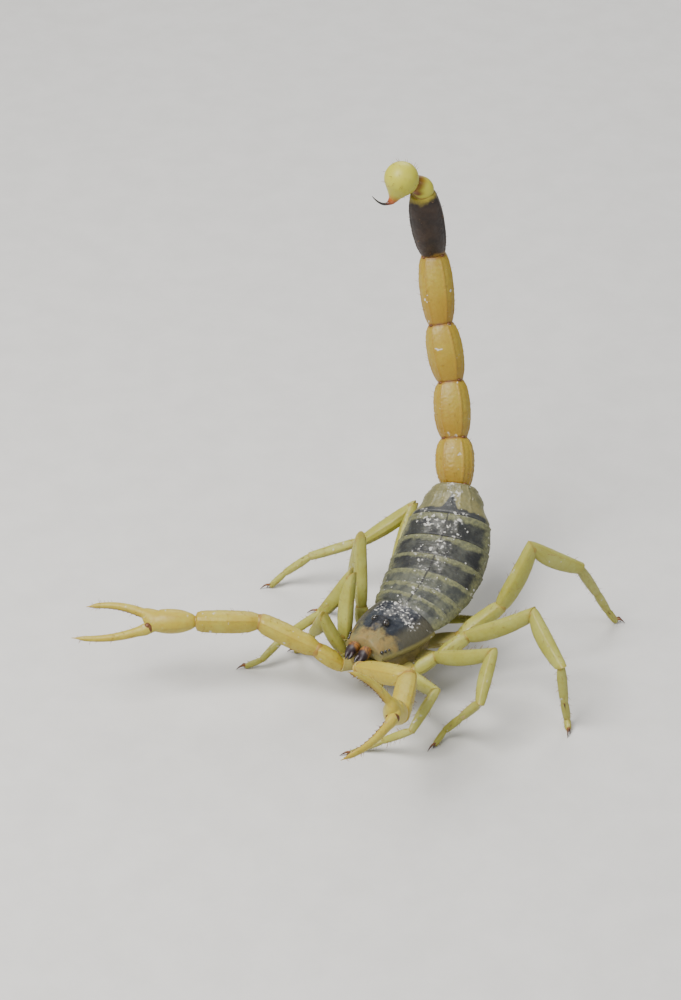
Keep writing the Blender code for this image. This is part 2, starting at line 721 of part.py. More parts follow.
def palp(side):
    """One pedipalp: four arm pieces, the hand with its fixed finger, and the other finger."""
    sign = SIDES[side]
    steps = [body_direction(side, turn, climb) for _, turn, climb in PALP_PIECES[side]]
    joints = [on_body(PALP_ROOT[0], sign * PALP_ROOT[1], PALP_ROOT[2])]
    for (length, _, _), step in zip(PALP_PIECES[side], steps):
        joints.append(joints[-1] + step * length)
    hip = (joints[0] - palp_start(side)).normalized()
    planes = [joint_plane(hip, steps[0])]
    planes += [joint_plane(steps[i], steps[i + 1]) for i in range(3)]
    keels = keeled_outline((40, 90, 140, 220, 320), 2.6, 1.03, 0.97)
    names = ("trochanter", "femur", "patella")
    for part, name in enumerate(names):
        width = PALP_WIDTHS[part]
        rows = [(s, 0.5 * width * z, 0.5 * width * z) for s, z in palp_profile(part)]
        hint = Vector((0.0, 0.0, 1.0)).cross(steps[part])
        ends = (joints[part], joints[part + 1], planes[part], planes[part + 1])
        rings = piece_rings(*ends, rows, hint, keels, 0.04)
        solid(f"palp_{side}_{name}", rings, "amber")
    hand(side, joints[3], steps[3], planes[3])


def palp_profile(part):
    """Sizes along an arm piece, by share of its length."""
    if part == 0:
        return ((0.0, 0.8), (0.35, 1.0), (0.7, 1.0), (1.0, 0.82))
    rows = ((0.0, 0.7), (0.1, 0.84), (0.25, 0.97), (0.4, 1.0), (0.55, 1.02), (0.7, 1.0))
    return rows + ((0.85, 0.95), (1.0, 0.72))


def hand(side, wrist, axis, plane):
    """Hand with its fixed finger in one piece, and the movable finger beside it."""
    length = PALP_PIECES[side][3][0]
    fixed_step, moving_step = [body_direction(side, turn, climb) for _, turn, climb in FINGERS[side]]
    fixed_length, moving_length = FINGERS[side][0][0], FINGERS[side][1][0]
    opening = fixed_step - moving_step
    opening = (opening - axis * opening.dot(axis)).normalized()
    across = axis.cross(opening)
    half = 0.5 * PALP_WIDTHS[3]
    outline = round_outline(12, 2.3)
    rings = piece_rings(wrist, wrist + axis * length, plane, axis, ((0.0, 0.5, 0.5),), across, outline)
    for share, high, low, thick in HAND_FORM:
        middle = wrist + axis * (length * share) + opening * (0.5 * (high + low))
        ring = []
        for angle, swell, _ in outline:
            side_reach = across * (thick * swell * math.cos(angle))
            ring.append(middle + side_reach + opening * (0.5 * (high - low) * swell * math.sin(angle)))
        rings.append(ring)
    base = wrist + axis * length + opening * 0.67
    rings += finger_rings(base, fixed_step, fixed_length, opening, across, 0.5, 0.5 * FINGER_THICKNESS)
    solid(f"palp_{side}_hand", rings, "amber")
    moving_out = (-opening - moving_step * -opening.dot(moving_step)).normalized()
    base = wrist + axis * (length * 0.98 + GAP) - opening * (0.62 * half)
    rings = finger_rings(base, moving_step, moving_length, moving_out, across, 0.0, 0.5 * FINGER_THICKNESS)
    solid(f"palp_{side}_finger", rings, "amber")


def finger_rings(base, step, length, outward, across, skip, half):
    """Rings of a long slim finger that bows outward, with a toothed inner edge."""
    count = 15
    outward = (outward - step * outward.dot(step)).normalized()
    rings = []
    for number in range(count):
        share = (number + skip) / (count - 1 + skip)
        bow = FINGER_BOW * (math.sin(math.pi * share) - 0.9 * share ** 3)
        middle = base + step * (length * share) + outward * bow
        size = half * (1.0 - 0.86 * share ** 1.6)
        if number == count - 1:
            size = 0.06
        wide, high = cross_frame(step, across)
        ring = []
        for number_round, (angle, swell, _) in enumerate(round_outline(12, 2.0)):
            reach = size * swell
            point = middle + wide * (reach * 0.9 * math.cos(angle)) + high * (reach * math.sin(angle))
            inner = (point - middle).dot(outward) < -0.8 * size
            if inner and number % 2 and size > 0.15:
                point -= outward * 0.1
            ring.append(point)
        rings.append(ring)
    return rings


def clear_scene():
    """Removes what the file held before."""
    for item in list(bpy.data.objects):
        bpy.data.objects.remove(item)


def build():
    """Makes every piece of the scorpion."""
    clear_scene()
    carapace()
    median_eyes()
    underside()
    chelicerae()
    frames = back_frames()
    mesosoma(frames)
    pectines()
    tail(frames)
    for side in SIDES:
        palp(side)
        for number in HIPS:
            leg(side, number)


build()
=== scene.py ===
"""Looks of the deathstalker scorpion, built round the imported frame.

Shapes are worked out in millimetres, in the frame's own axes, and turned into metres
when a mesh is made. The skeleton's values are those of the part's source.
"""
import math
import random

import bpy
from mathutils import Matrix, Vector, noise


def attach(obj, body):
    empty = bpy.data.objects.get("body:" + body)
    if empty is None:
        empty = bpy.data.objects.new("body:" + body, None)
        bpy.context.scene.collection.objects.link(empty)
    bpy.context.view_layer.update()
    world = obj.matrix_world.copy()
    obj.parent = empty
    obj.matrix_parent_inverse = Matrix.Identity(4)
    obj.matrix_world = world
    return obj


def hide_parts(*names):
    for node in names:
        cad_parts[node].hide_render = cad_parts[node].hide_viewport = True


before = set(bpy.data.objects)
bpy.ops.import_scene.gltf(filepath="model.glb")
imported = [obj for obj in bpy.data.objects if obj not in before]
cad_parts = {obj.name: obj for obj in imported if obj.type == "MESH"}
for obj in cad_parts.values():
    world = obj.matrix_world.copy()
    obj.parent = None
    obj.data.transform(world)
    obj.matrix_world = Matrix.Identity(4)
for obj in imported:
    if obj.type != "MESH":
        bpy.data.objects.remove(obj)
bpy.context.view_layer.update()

MM = 0.001
UP_AXIS = Vector((0.0, 0.0, 1.0))

# Skeleton: where the front of the body stands, and how it is turned
PROSOMA_CENTRE = Vector((3.434, -2.796, 6.4))
BODY_HEADING = 233.0
BODY_PITCH = 2.0
SHIELD_SHIFT = (-0.15, 1.3)
SHIELD_PITCH = -2.0
CARAPACE_LENGTH = 8.0
CARAPACE_FRONT_WIDTH = 5.2
CARAPACE_REAR_WIDTH = 8.8
CARAPACE_RISE = 2.0
CARAPACE_BRIM = -0.75
EYE_MOUND = (0.9, 1.15, 0.62)
MEDIAN_EYE_RADIUS = 0.42
GAP = 0.3

SEGMENT_LENGTHS = (1.45, 1.95, 2.4, 2.8, 3.1, 3.5, 4.9)
BACK_HEADINGS = (53.0, 81.1)
BACK_RISES = (0.0, 40.0)
BACK_TURN_EASE = 0.6
# Along the back: share of length, half width, height of back, depth of belly
BODY_FORM = (
    (0.00, 4.50, 1.95, 0.75),
    (0.12, 4.95, 2.25, 0.90),
    (0.26, 5.45, 2.50, 2.05),
    (0.45, 5.65, 2.70, 3.15),
    (0.62, 5.45, 2.70, 3.30),
    (0.76, 4.90, 2.60, 2.90),
    (0.90, 3.60, 2.35, 2.40),
    (1.00, 2.55, 2.00, 2.05),
)
# Tail segments: length, width, depth, compass, climb
TAIL = (
    (5.9, 4.6, 4.2, 92.0, 51.0),
    (6.9, 4.4, 4.0, 97.0, 57.0),
    (7.0, 4.3, 3.9, 112.0, 62.0),
    (8.5, 4.1, 3.7, 105.0, 65.0),
    (9.2, 4.1, 3.5, 228.0, 76.0),
)
KEELS_FRONT = (12, 58, 122, 168, 205, 248, 292, 335)
KEELS_FIRST = (0, 25, 60, 120, 155, 180, 210, 250, 290, 330)
KEELS_LAST = (20, 160, 215, 270, 325)
TELSON_HEADING = 205.0
# Venom bulb, in the upright plane of the sting: distance forward of the tail's end, height over it
BULB_CENTRE = (2.74, 2.52)
BULB_RADIUS = 2.02
BULB_LEAN = -67.0
# Taper of the bulb towards the sting: distance from the centre, radius
BULB_TAPER = ((1.05, 1.73), (1.55, 1.33), (2.05, 0.93), (2.5, 0.64), (2.8, 0.5))
# Neck of the bulb: share, distance forward, height, radius, lean
BULB_NECK = (
    (0.00, -0.10, 0.02, 1.22, 82.0),
    (0.30, -0.10, 0.48, 1.28, 72.0),
    (0.60, 0.12, 0.96, 1.20, 54.0),
    (0.80, 0.52, 1.34, 1.04, 40.0),
    (1.00, 1.15, 1.68, 0.90, 28.0),
)
STING_START = (3.88, 0.04)
STING_BEND = (4.98, -1.12)
STING_TIP = (6.55, 1.05)

LEG_THICKNESS = {1: 1.45, 2: 1.65, 3: 1.8, 4: 1.9}
HIPS = {
    1: (3.0, 3.4, -1.5),
    2: (0.6, 4.6, -1.6),
    3: (-2.9, 5.4, -1.6),
    4: (-7.2, 5.4, -1.4),
}
HIP_STARTS = {1: 1.6, 2: 0.6, 3: -1.0, 4: -3.2}
HIP_START_OUT = 0.9
PALP_START = (2.2, 1.3)
# From hip to toe: length, turn outward from straight ahead, climb
LEGS = {
    ("left", 1): (
        (2.4, 97, 25), (5.0, 69, 10), (5.2, 0, -31), (4.0, -70, -34), (2.5, -60, -30), (1.7, -35, -9),
    ),
    ("left", 2): (
        (2.9, 143, 29), (8.5, 90, 27), (5.9, 20, -32), (4.9, -104, -53), (2.7, -52, -46), (2.1, 0, -20),
    ),
    ("left", 3): (
        (4.1, 150, 28), (8.8, 113, 31), (7.5, 62, -22), (4.9, 140, -83), (2.8, 150, -79), (1.4, 40, -36),
    ),
    ("left", 4): (
        (6.0, 152, 28), (8.0, 155, 60), (7.4, 145, -34), (6.3, 172, -57), (3.9, 160, -61), (2.0, 145, -51),
    ),
    ("right", 1): (
        (1.1, 21, 57), (5.0, 61, 64), (5.2, 120, -54), (4.0, 125, -55), (2.4, 115, -52), (1.1, 85, -25),
    ),
    ("right", 2): (
        (1.8, 3, 53), (6.8, 153, 61), (5.9, 54, -57), (6.2, 58, -41), (3.6, 20, -34), (2.2, 50, -26),
    ),
    ("right", 3): (
        (2.0, 132, 54), (7.8, 141, 66), (5.8, 100, -76), (4.9, 99, -61), (3.4, 97, -53), (1.4, 65, -38),
    ),
    ("right", 4): (
        (6.5, 155, 6), (7.85, 161, 35.7), (7.0, 34, -28), (7.1, 60, -24), (4.0, 54, -39), (2.5, 35, -39),
    ),
}
LEG_WIDTHS = (1.0, 0.9, 0.86, 0.56, 0.46, 0.4)
LEG_HEIGHTS = (1.0, 1.12, 1.12, 0.66, 0.56, 0.46)
LEG_PARTS = ("trochanter", "femur", "patella", "tibia", "basitarsus", "tarsus")
LEG_NODES = ("thigh", "thigh", "knee", "shin", "shin", "shin")
TOE_LEVEL = 0.2
TOE_RADIUS = 0.26

PALP_ROOT = (5.1, 2.6, -1.2)
PALP_PIECES = {
    "left": ((4.2, -7, 51), (7.1, 86, 18), (7.6, 29, 6), (5.3, 22, 41)),
    "right": ((3.2, 69, 29), (7.4, 71, 19), (7.3, 50, 3), (5.7, 51, 2)),
}
FINGERS = {
    "left": ((7.0, -46, 50), (8.4, -1, -5)),
    "right": ((7.1, 63, 7), (8.5, 42, -5)),
}
PALP_WIDTHS = (1.9, 2.3, 2.45, 2.7)
FINGER_THICKNESS = 1.25
FINGER_BOW = 0.5
# Along the hand: share of length, level of its two edges over the axis, half thickness
HAND_FORM = (
    (0.00, 0.50, -0.50, 0.48),
    (0.12, 0.95, -0.95, 0.90),
    (0.35, 1.30, -1.30, 1.22),
    (0.60, 1.38, -1.38, 1.25),
    (0.82, 1.34, -1.20, 1.08),
    (0.93, 1.28, -0.75, 0.85),
    (1.00, 1.22, 0.12, 0.62),
)
SIDES = {"left": 1.0, "right": -1.0}

# Camera: the photo looks down on the animal from in front, from about a third of a metre
CAMERA_DROP = 34.0
CAMERA_REACH = 316.0
PIXELS_PER_UNIT = 2720.0
IMAGE_SIZE = (681, 1000)
AIM_PIXEL = (400, 700)
AIM_OFFSET = Vector((1.7, -2.6, 0.0))
SENSOR_HEIGHT = 24.0
PATCH = 0.003

BACK_LENGTH = sum(SEGMENT_LENGTHS)
BACK_STEP = 0.1
# Along a chelicera: share, distance ahead, distance out, height, half width, half height
CHELICERA_FORM = (
    (0.00, 4.25, 0.80, 0.30, 0.50, 0.50),
    (0.16, 4.60, 0.80, 0.32, 0.64, 0.68),
    (0.40, 5.10, 0.82, 0.26, 0.66, 0.70),
    (0.60, 5.55, 0.84, 0.12, 0.54, 0.55),
    (0.76, 5.90, 0.96, -0.06, 0.30, 0.29),
    (0.90, 6.25, 0.88, -0.22, 0.17, 0.17),
    (1.00, 6.50, 0.68, -0.36, 0.05, 0.05),
)
# Its inner finger: share, distance ahead, distance out, height, half thickness
CHELICERA_FINGER = (
    (0.0, 5.4, 0.60, 0.10, 0.36),
    (0.4, 5.85, 0.42, -0.06, 0.28),
    (0.75, 6.2, 0.40, -0.20, 0.17),
    (1.0, 6.45, 0.50, -0.32, 0.04),
)
# Soft skin of the underside: share, distance ahead, half width, thickness
BREAST_FORM = (
    (0.0, 4.5, 1.4, 1.7),
    (0.12, 3.4, 2.3, 2.5),
    (0.4, 0.5, 3.35, 3.0),
    (0.72, -3.5, 3.6, 3.0),
    (1.0, -7.3, 2.3, 1.9),
)
# Share, half width, half height
PALP_BASE_FORM = ((0.0, 0.8, 0.5), (0.45, 1.05, 0.55), (0.75, 0.95, 0.6), (1.0, 0.8, 0.74))
COMB_FORM = ((0.0, 0.34, 0.24), (0.3, 0.42, 0.26), (0.7, 0.34, 0.22), (1.0, 0.14, 0.12))
COMB_TEETH = 30
# Share, part of the full size
TAIL_PROFILE = (
    (0.0, 0.70), (0.05, 0.77), (0.16, 0.875), (0.32, 0.965), (0.5, 1.0), (0.68, 0.985), (0.84, 0.91),
    (0.94, 0.81), (1.0, 0.71),
)
PALP_PARTS = ("trochanter", "femur", "patella")
TROCHANTER_PROFILE = ((0.0, 0.72), (0.12, 0.86), (0.35, 1.0), (0.7, 1.0), (0.92, 0.94), (1.0, 0.88))
ARM_PROFILE = (
    (0.0, 0.58), (0.06, 0.72), (0.18, 0.92), (0.4, 1.0), (0.6, 1.02), (0.8, 0.98), (0.94, 0.92), (1.0, 0.82),
)
PALP_PROFILES = (TROCHANTER_PROFILE, ARM_PROFILE, ARM_PROFILE)
HAND_KEELS = (0.0, 60.0, 120.0, 180.0, 240.0, 300.0)
# Share of the fixed finger at which it comes out of the hand, and how much thinner it is than high
FINGER_SHOWS = 0.14
FINGER_FLATNESS = 0.88
FINGER_SUNK = 1.1
GRANULE_SIDES = 72
HAIR_RADIUS = 0.028
HAIR_CLEARANCE = 0.06
SHARP_ANGLE = math.radians(50.0)
# Direction off every axis, from which the sides of beads and claws are set
ODD_HINT = Vector((0.31, 0.17, 0.93))
# Paint of a point without keel, and of a bead
PLAIN = (0.5, 0.5, 0.0, 1.0)
BEAD = (0.5, 0.5, 1.0, 1.0)
DUST = (0.50, 0.49, 0.46)
DUST_ROUGHNESS = 0.3
COAT_ROUGHNESS = 0.28
SOFT_RADIUS = (1.0, 0.55, 0.2)
SOFT_SCALE = 0.0006


def direction(heading, climb):
    """Unit vector for a compass angle from +X and a climb over the floor."""
    turn, rise = math.radians(heading), math.radians(climb)
    level = math.cos(rise)
    return Vector((level * math.cos(turn), level * math.sin(turn), math.sin(rise)))


FORWARD = direction(BODY_HEADING, -BODY_PITCH)
LEFT = direction(BODY_HEADING + 90.0, 0.0)
UP = FORWARD.cross(LEFT)


def on_body(ahead, left, above):
    """Point given by its distances from the centre of the front part of the body."""
    return PROSOMA_CENTRE + FORWARD * ahead + LEFT * left + UP * above


SHIELD_CENTRE = on_body(0.0, *SHIELD_SHIFT)
SHIELD_FORWARD = direction(BODY_HEADING, -SHIELD_PITCH)
SHIELD_UP = SHIELD_FORWARD.cross(LEFT)


def on_shield(ahead, left, above):
    """Point given by its distances from the centre of the shield."""
    return SHIELD_CENTRE + SHIELD_FORWARD * ahead + LEFT * left + SHIELD_UP * above


def body_direction(side, turn, climb):
    """Direction that turns outward from straight ahead on one side of the body."""
    return direction(BODY_HEADING + SIDES[side] * turn, climb)


def joint_plane(before, after):
    """Normal of the plane that halves the angle between two directions."""
    return (before + after).normalized()


def cross_frame(axis, hint):
    """Side and up directions square to an axis, with the side near the hint."""
    side = (hint - axis * hint.dot(axis)).normalized()
    return side, side.cross(axis)


def squarish(angle, power):
    """Radius of a rounded square of half size one in the given direction."""
    return (abs(math.cos(angle)) ** power + abs(math.sin(angle)) ** power) ** (-1.0 / power)


def smooth(share):
    """Eased step from zero to one."""
    share = max(0.0, min(1.0, share))
    return share * share * (3.0 - 2.0 * share)


def bump(distance, width):
    """Soft bell of height one."""
    return math.exp(-(distance / width) ** 2)


def within(value, start, ease_in, end, ease_out):
    """Eased window that opens after its start and closes before its end."""
    return smooth((value - start) / ease_in) * smooth((end - value) / ease_out)


def shares(rows):
    """Even shares from zero to one, one for each row."""
    return [row / (rows - 1) for row in range(rows)]


def round_angles(sides):
    """Angles of the points of a ring."""
    return [2.0 * math.pi * step / sides for step in range(sides)]


def mean(points):
    """Middle of a few points."""
    return sum(points, Vector()) / len(points)


def oval(centre, wide, high, sides, power=2.0):
    """Ring of points round a centre, with its two half axes given as vectors."""
    ring = []
    for angle in round_angles(sides):
        swell = squarish(angle, power)
        ring.append(centre + wide * (swell * math.cos(angle)) + high * (swell * math.sin(angle)))
    return ring


def curve_rows(rows, share):
    """Values of a table read at a share of its length, on a smooth curve through its rows."""
    last = len(rows) - 1
    spot = 0
    while spot < last - 1 and share > rows[spot + 1][0]:
        spot += 1
    low, high = rows[spot], rows[spot + 1]
    before, after = rows[max(0, spot - 1)], rows[min(last, spot + 2)]
    span = high[0] - low[0]
    part = max(0.0, min(1.0, (share - low[0]) / span))
    values = []
    for here in range(1, len(low)):
        slope_in = (high[here] - before[here]) / max(high[0] - before[0], 1e-6) * span
        slope_out = (after[here] - low[here]) / max(after[0] - low[0], 1e-6) * span
        square, cube = part * part, part ** 3
        value = (2.0 * cube - 3.0 * square + 1.0) * low[here] + (cube - 2.0 * square + part) * slope_in
        value += (3.0 * square - 2.0 * cube) * high[here] + (cube - square) * slope_out
        values.append(value)
    return values


class Shape:
    """Mesh under construction: points given in millimetres, faces, and a painted value per point.

    The paint's red is the share along a piece, green the way round it or across it, and
    blue how much of a keel or granule a point is.
    """

    def __init__(self):
        self.points = []
        self.faces = []
        self.paint = []
        self.places = []

    def add(self, point, paint):
        """Adds a point and gives its number."""
        self.points.append(point * MM)
        self.paint.append(paint)
        return len(self.points) - 1

    def add_ring(self, ring, paint):
        """Adds a ring of points and gives their numbers."""
        return [self.add(point, value) for point, value in zip(ring, paint)]

    def band(self, near, far, flip=False):
        """Strip of faces between two rings of points."""
        count = len(near)
        for i in range(count):
            j = (i + 1) % count
            face = (near[i], near[j], far[j], far[i])
            self.faces.append(tuple(reversed(face)) if flip else face)

    def fan(self, row, tip, flip=False):
        """Triangles from a ring of points to a single one."""
        count = len(row)
        for i in range(count):
            j = (i + 1) % count
            self.faces.append((row[j], row[i], tip) if flip else (row[i], row[j], tip))

    def cap(self, row, ring, beyond, paint, rounded, flip):
        """Closes one end of a skin, drawn in a little first where it is rounded."""
        middle = mean(ring)
        if rounded:
            outward = (middle - mean(beyond)).normalized()
            size = sum((p - middle).length for p in ring) / len(ring)
            drawn_in = [middle + (p - middle) * 0.72 + outward * size * 0.14 for p in ring]
            inner = self.add_ring(drawn_in, paint)
            self.band(row, inner, flip)
            row = inner
            middle = middle + outward * size * 0.2
        self.fan(row, self.add(middle, paint[0]), flip)

    def loft(self, rings, paints, round_ends=True):
        """Closed skin through a row of rings, with its ends drawn in to a point."""
        first = len(self.faces)
        rows = [self.add_ring(ring, paint) for ring, paint in zip(rings, paints)]
        for near, far in zip(rows[:-1], rows[1:]):
            self.band(near, far)
        for end, beyond, flip in ((0, 1, True), (-1, -2, False)):
            self.cap(rows[end], rings[end], rings[beyond], paints[end], round_ends, flip)
        self.face_outward(first)

    def plain_loft(self, rings, round_ends=True):
        """Closed skin whose paint only runs along it."""
        paints = [[(share, 0.5, 0.0, 1.0)] * len(rings[0]) for share in shares(len(rings))]
        self.loft(rings, paints, round_ends)

    def face_outward(self, first):
        """Turns the closed skin added since a face so that it looks outward, judged by its volume."""
        origin = self.points[self.faces[first][0]]
        volume = 0.0
        for face in self.faces[first:]:
            corners = [self.points[corner] - origin for corner in face]
            for near, far in zip(corners[1:-1], corners[2:]):
                volume += corners[0].dot(near.cross(far))
        if volume < 0.0:
            self.faces[first:] = [tuple(reversed(face)) for face in self.faces[first:]]

    def ball(self, centre, axis, radius, stretch=1.0, paint=BEAD, sides=10, rows=6):
        """Rounded bead whose poles lie along an axis."""
        first = len(self.faces)
        side, up = cross_frame(axis, ODD_HINT)
        levels = []
        for row in range(1, rows):
            angle = math.pi * row / rows
            away = radius * math.sin(angle)
            middle = centre - axis * (radius * stretch * math.cos(angle))
            levels.append(self.add_ring(oval(middle, side * away, up * away, sides), [paint] * sides))
        for near, far in zip(levels[:-1], levels[1:]):
            self.band(near, far)
        pole = axis * radius * stretch
        self.fan(levels[0], self.add(centre - pole, paint), True)
        self.fan(levels[-1], self.add(centre + pole, paint))
        self.face_outward(first)

    def hair(self, root, lean, length, place):
        """Thin bristle that bends a little towards its tip; place is its root on the skin's unwrap."""
        side, up = cross_frame(lean, Vector((0.2, 0.5, 0.84)))
        droop = up * (0.12 * length)
        if min(root.z, (root + lean * length + droop).z) < HAIR_CLEARANCE:
            return
        first = len(self.faces)
        rows = []
        for level, (share, radius) in enumerate(((0.0, HAIR_RADIUS), (0.5, 0.7 * HAIR_RADIUS))):
            centre = root + lean * (length * share) + droop * share * share
            ring = oval(centre, side * radius, up * radius, 3)
            rows.append(self.add_ring(ring, [(0.5 * level, 0.5, 0.0, 1.0)] * 3))
            for step in range(3):
                across, along = PATCH * (0.5 * step - 0.5), PATCH * (0.5 * level - 0.5)
                self.places.append((place[0] + across, place[1] + along))
        self.places.append((place[0], place[1] + 0.5 * PATCH))
        tip = self.add(root + lean * length + droop, (1.0, 0.5, 0.0, 1.0))
        self.band(*rows)
        self.fan(rows[1], tip)
        self.faces.append(tuple(reversed(rows[0])))
        self.face_outward(first)

    def finish(self, name, finish, nodes, slot):
        """Makes the object, rides it on the frame and hides the imported parts of the nodes that it stands
        for.
        """
        mesh = bpy.data.meshes.new(name)
        mesh.from_pydata(self.points, [], self.faces)
        layer = mesh.color_attributes.new("paint", "FLOAT_COLOR", "POINT")
        for entry, value in zip(layer.data, self.paint):
            entry.color = value
        if self.places:
            unwrap = mesh.uv_layers.new(name="OFBake")
            for corner, entry in zip(mesh.loops, unwrap.data):
                entry.uv = self.places[corner.vertex_index]
        mesh.validate()
        mesh.shade_smooth()
        mesh.set_sharp_from_angle(angle=SHARP_ANGLE)
        item = bpy.data.objects.new(name, mesh)
        mesh.materials.append(finish)
        bpy.context.scene.collection.objects.link(item)
        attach(item, "root")
        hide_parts(*nodes)


# Materials


class Nodes:
    """Small helper that adds shader nodes and links them."""

    def __init__(self, name):
        self.material = bpy.data.materials.new(name)
        self.material.use_nodes = True
        self.tree = self.material.node_tree
        self.shader = self.tree.nodes["Principled BSDF"]
        self.place = self.tree.nodes.new("ShaderNodeTexCoord").outputs["Object"]
        paint = self.tree.nodes.new("ShaderNodeAttribute")
        paint.attribute_name = "paint"
        split = self.tree.nodes.new("ShaderNodeSeparateColor")
        self.tree.links.new(paint.outputs["Color"], split.inputs["Color"])
        self.along, self.across, self.keel = split.outputs

    def link(self, source, target):
        """Feeds a socket from a number, a colour or another socket."""
        if isinstance(source, (int, float)):
            target.default_value = source
        elif isinstance(source, tuple):
            target.default_value = (*source, 1.0)
        else:
            self.tree.links.new(source, target)

    def noise(self, scale, detail=3.0, rough=0.55, shift=0.0):
        """Cloudy pattern."""
        node = self.tree.nodes.new("ShaderNodeTexNoise")
        node.noise_dimensions = "4D"
        for label, number in (("Scale", scale), ("Detail", detail), ("Roughness", rough), ("W", shift)):
            node.inputs[label].default_value = number
        self.link(self.place, node.inputs["Vector"])
        return node.outputs["Fac"]

    def cells(self, scale, feature="F1"):
        """Distance within a pattern of cells."""
        node = self.tree.nodes.new("ShaderNodeTexVoronoi")
        node.feature = feature
        node.inputs["Scale"].default_value = scale
        self.link(self.place, node.inputs["Vector"])
        return node.outputs["Distance"]

    def span(self, value, low, high, out_low=0.0, out_high=1.0):
        """Value eased from one range to another."""
        node = self.tree.nodes.new("ShaderNodeMapRange")
        node.interpolation_type = "SMOOTHSTEP"
        self.link(value, node.inputs["Value"])
        for label, number in (
            ("From Min", low), ("From Max", high), ("To Min", out_low), ("To Max", out_high),
        ):
            node.inputs[label].default_value = number
        return node.outputs["Result"]

    def reckon(self, operation, first, second):
        """One step of arithmetic."""
        node = self.tree.nodes.new("ShaderNodeMath")
        node.operation = operation
        self.link(first, node.inputs[0])
        self.link(second, node.inputs[1])
        return node.outputs["Value"]

    def times(self, first, second):
        return self.reckon("MULTIPLY", first, second)

    def plus(self, first, second):
        return self.reckon("ADD", first, second)

    def minus(self, first, second):
        return self.reckon("SUBTRACT", first, second)

    def most(self, first, second):
        return self.reckon("MAXIMUM", first, second)

    def mix(self, share, first, second):
        """Colour between two others."""
        node = self.tree.nodes.new("ShaderNodeMix")
        node.data_type = "RGBA"
        self.link(share, node.inputs["Factor"])
        self.link(first, node.inputs["A"])
        self.link(second, node.inputs["B"])
        return node.outputs["Result"]

    def rough(self, grain, low, high, specks=None):
        """Roughness that varies with a grain and is higher on dust."""
        value = self.span(grain, 0.3, 0.7, low, high)
        return value if specks is None else self.plus(value, self.times(specks, DUST_ROUGHNESS))

    def done(self, colour, roughness, heights, coat=0.25, soft=0.0, shine=0.45):
        """Sets the shader: colour, roughness, bumps as (height, strength, distance), coat and softness."""
        self.link(colour, self.shader.inputs["Base Color"])
        self.link(roughness, self.shader.inputs["Roughness"])
        self.shader.inputs["Coat Weight"].default_value = coat
        self.shader.inputs["Coat Roughness"].default_value = COAT_ROUGHNESS
        self.shader.inputs["Specular IOR Level"].default_value = shine
        if soft:
            self.shader.inputs["Subsurface Weight"].default_value = soft
            self.shader.inputs["Subsurface Radius"].default_value = SOFT_RADIUS
            self.shader.inputs["Subsurface Scale"].default_value = SOFT_SCALE
        normal = None
        for height, strength, distance in heights:
            node = self.tree.nodes.new("ShaderNodeBump")
            node.inputs["Strength"].default_value = strength
            node.inputs["Distance"].default_value = distance
            self.link(height, node.inputs["Height"])
            if normal:
                self.link(normal, node.inputs["Normal"])
            normal = node.outputs["Normal"]
        if normal:
            self.link(normal, self.shader.inputs["Normal"])
        return self.material


def dusted(n, colour, amount, where):
    """Pale sand that clings to the shell: clusters of grains, a thin film round them and single flakes."""
    field = n.plus(n.noise(430.0, 3.0, 0.62, 3.0), n.times(where, 0.22 * amount))
    clump = n.span(field, 0.64, 0.76)
    fine_grains = n.span(n.noise(2600.0, 1.0, 0.4, 8.0), 0.58, 0.64)
    grains = n.most(n.span(n.noise(1500.0, 1.0, 0.4, 2.0), 0.60, 0.66), fine_grains)
    film = n.times(clump, n.span(n.noise(900.0, 3.0, 0.6, 1.0), 0.40, 0.70, 0.0, 0.28))
    share = n.most(n.times(grains, clump), film)
    flakes = n.span(n.noise(1750.0, 1.0, 0.5, 6.0), 0.68, 0.72, 0.0, 0.9)
    share = n.most(share, n.times(flakes, n.span(field, 0.46, 0.60)))
    return n.mix(share, colour, DUST), share


def shell_finish(name, base, deep, pale, ends, end_reach, warm=0.0, dust=0.12, edge_share=0.35):
    """Translucent yellow shell: browner keels, a dark line at the joints, mottling and a little dust."""
    n = Nodes(name)
    mottle = n.noise(330.0, 4.0, 0.6)
    fine = n.noise(2300.0, 3.0, 0.6, 7.0)
    colour = n.mix(n.span(mottle, 0.35, 0.7), base, pale)
    colour = n.mix(n.span(n.along, 0.62, 0.0, 0.0, warm), colour, deep)
    colour = n.mix(n.span(fine, 0.45, 0.8, 0.0, 0.35), colour, deep)
    colour = n.mix(n.times(n.keel, 0.35), colour, deep)
    near = n.span(n.along, end_reach, 0.0)
    far = n.span(n.along, 1.0 - end_reach, 1.0)
    edge = n.times(n.most(near, far), n.span(mottle, 0.2, 0.6, 0.6, 1.0))
    colour = n.mix(n.times(edge, edge_share), colour, ends)
    freckle = n.span(n.noise(1300.0, 2.0, 0.6, 4.0), 0.66, 0.76, 0.0, 0.35)
    colour = n.mix(freckle, colour, ends)
    colour, specks = dusted(n, colour, dust, n.span(n.across, 0.4, 0.8))
    roughness = n.rough(fine, 0.44, 0.60, specks)
    pits = n.cells(3600.0)
    return n.done(colour, roughness, ((pits, 0.22, 0.00005), (fine, 0.25, 0.00006)), 0.08, 0.2)


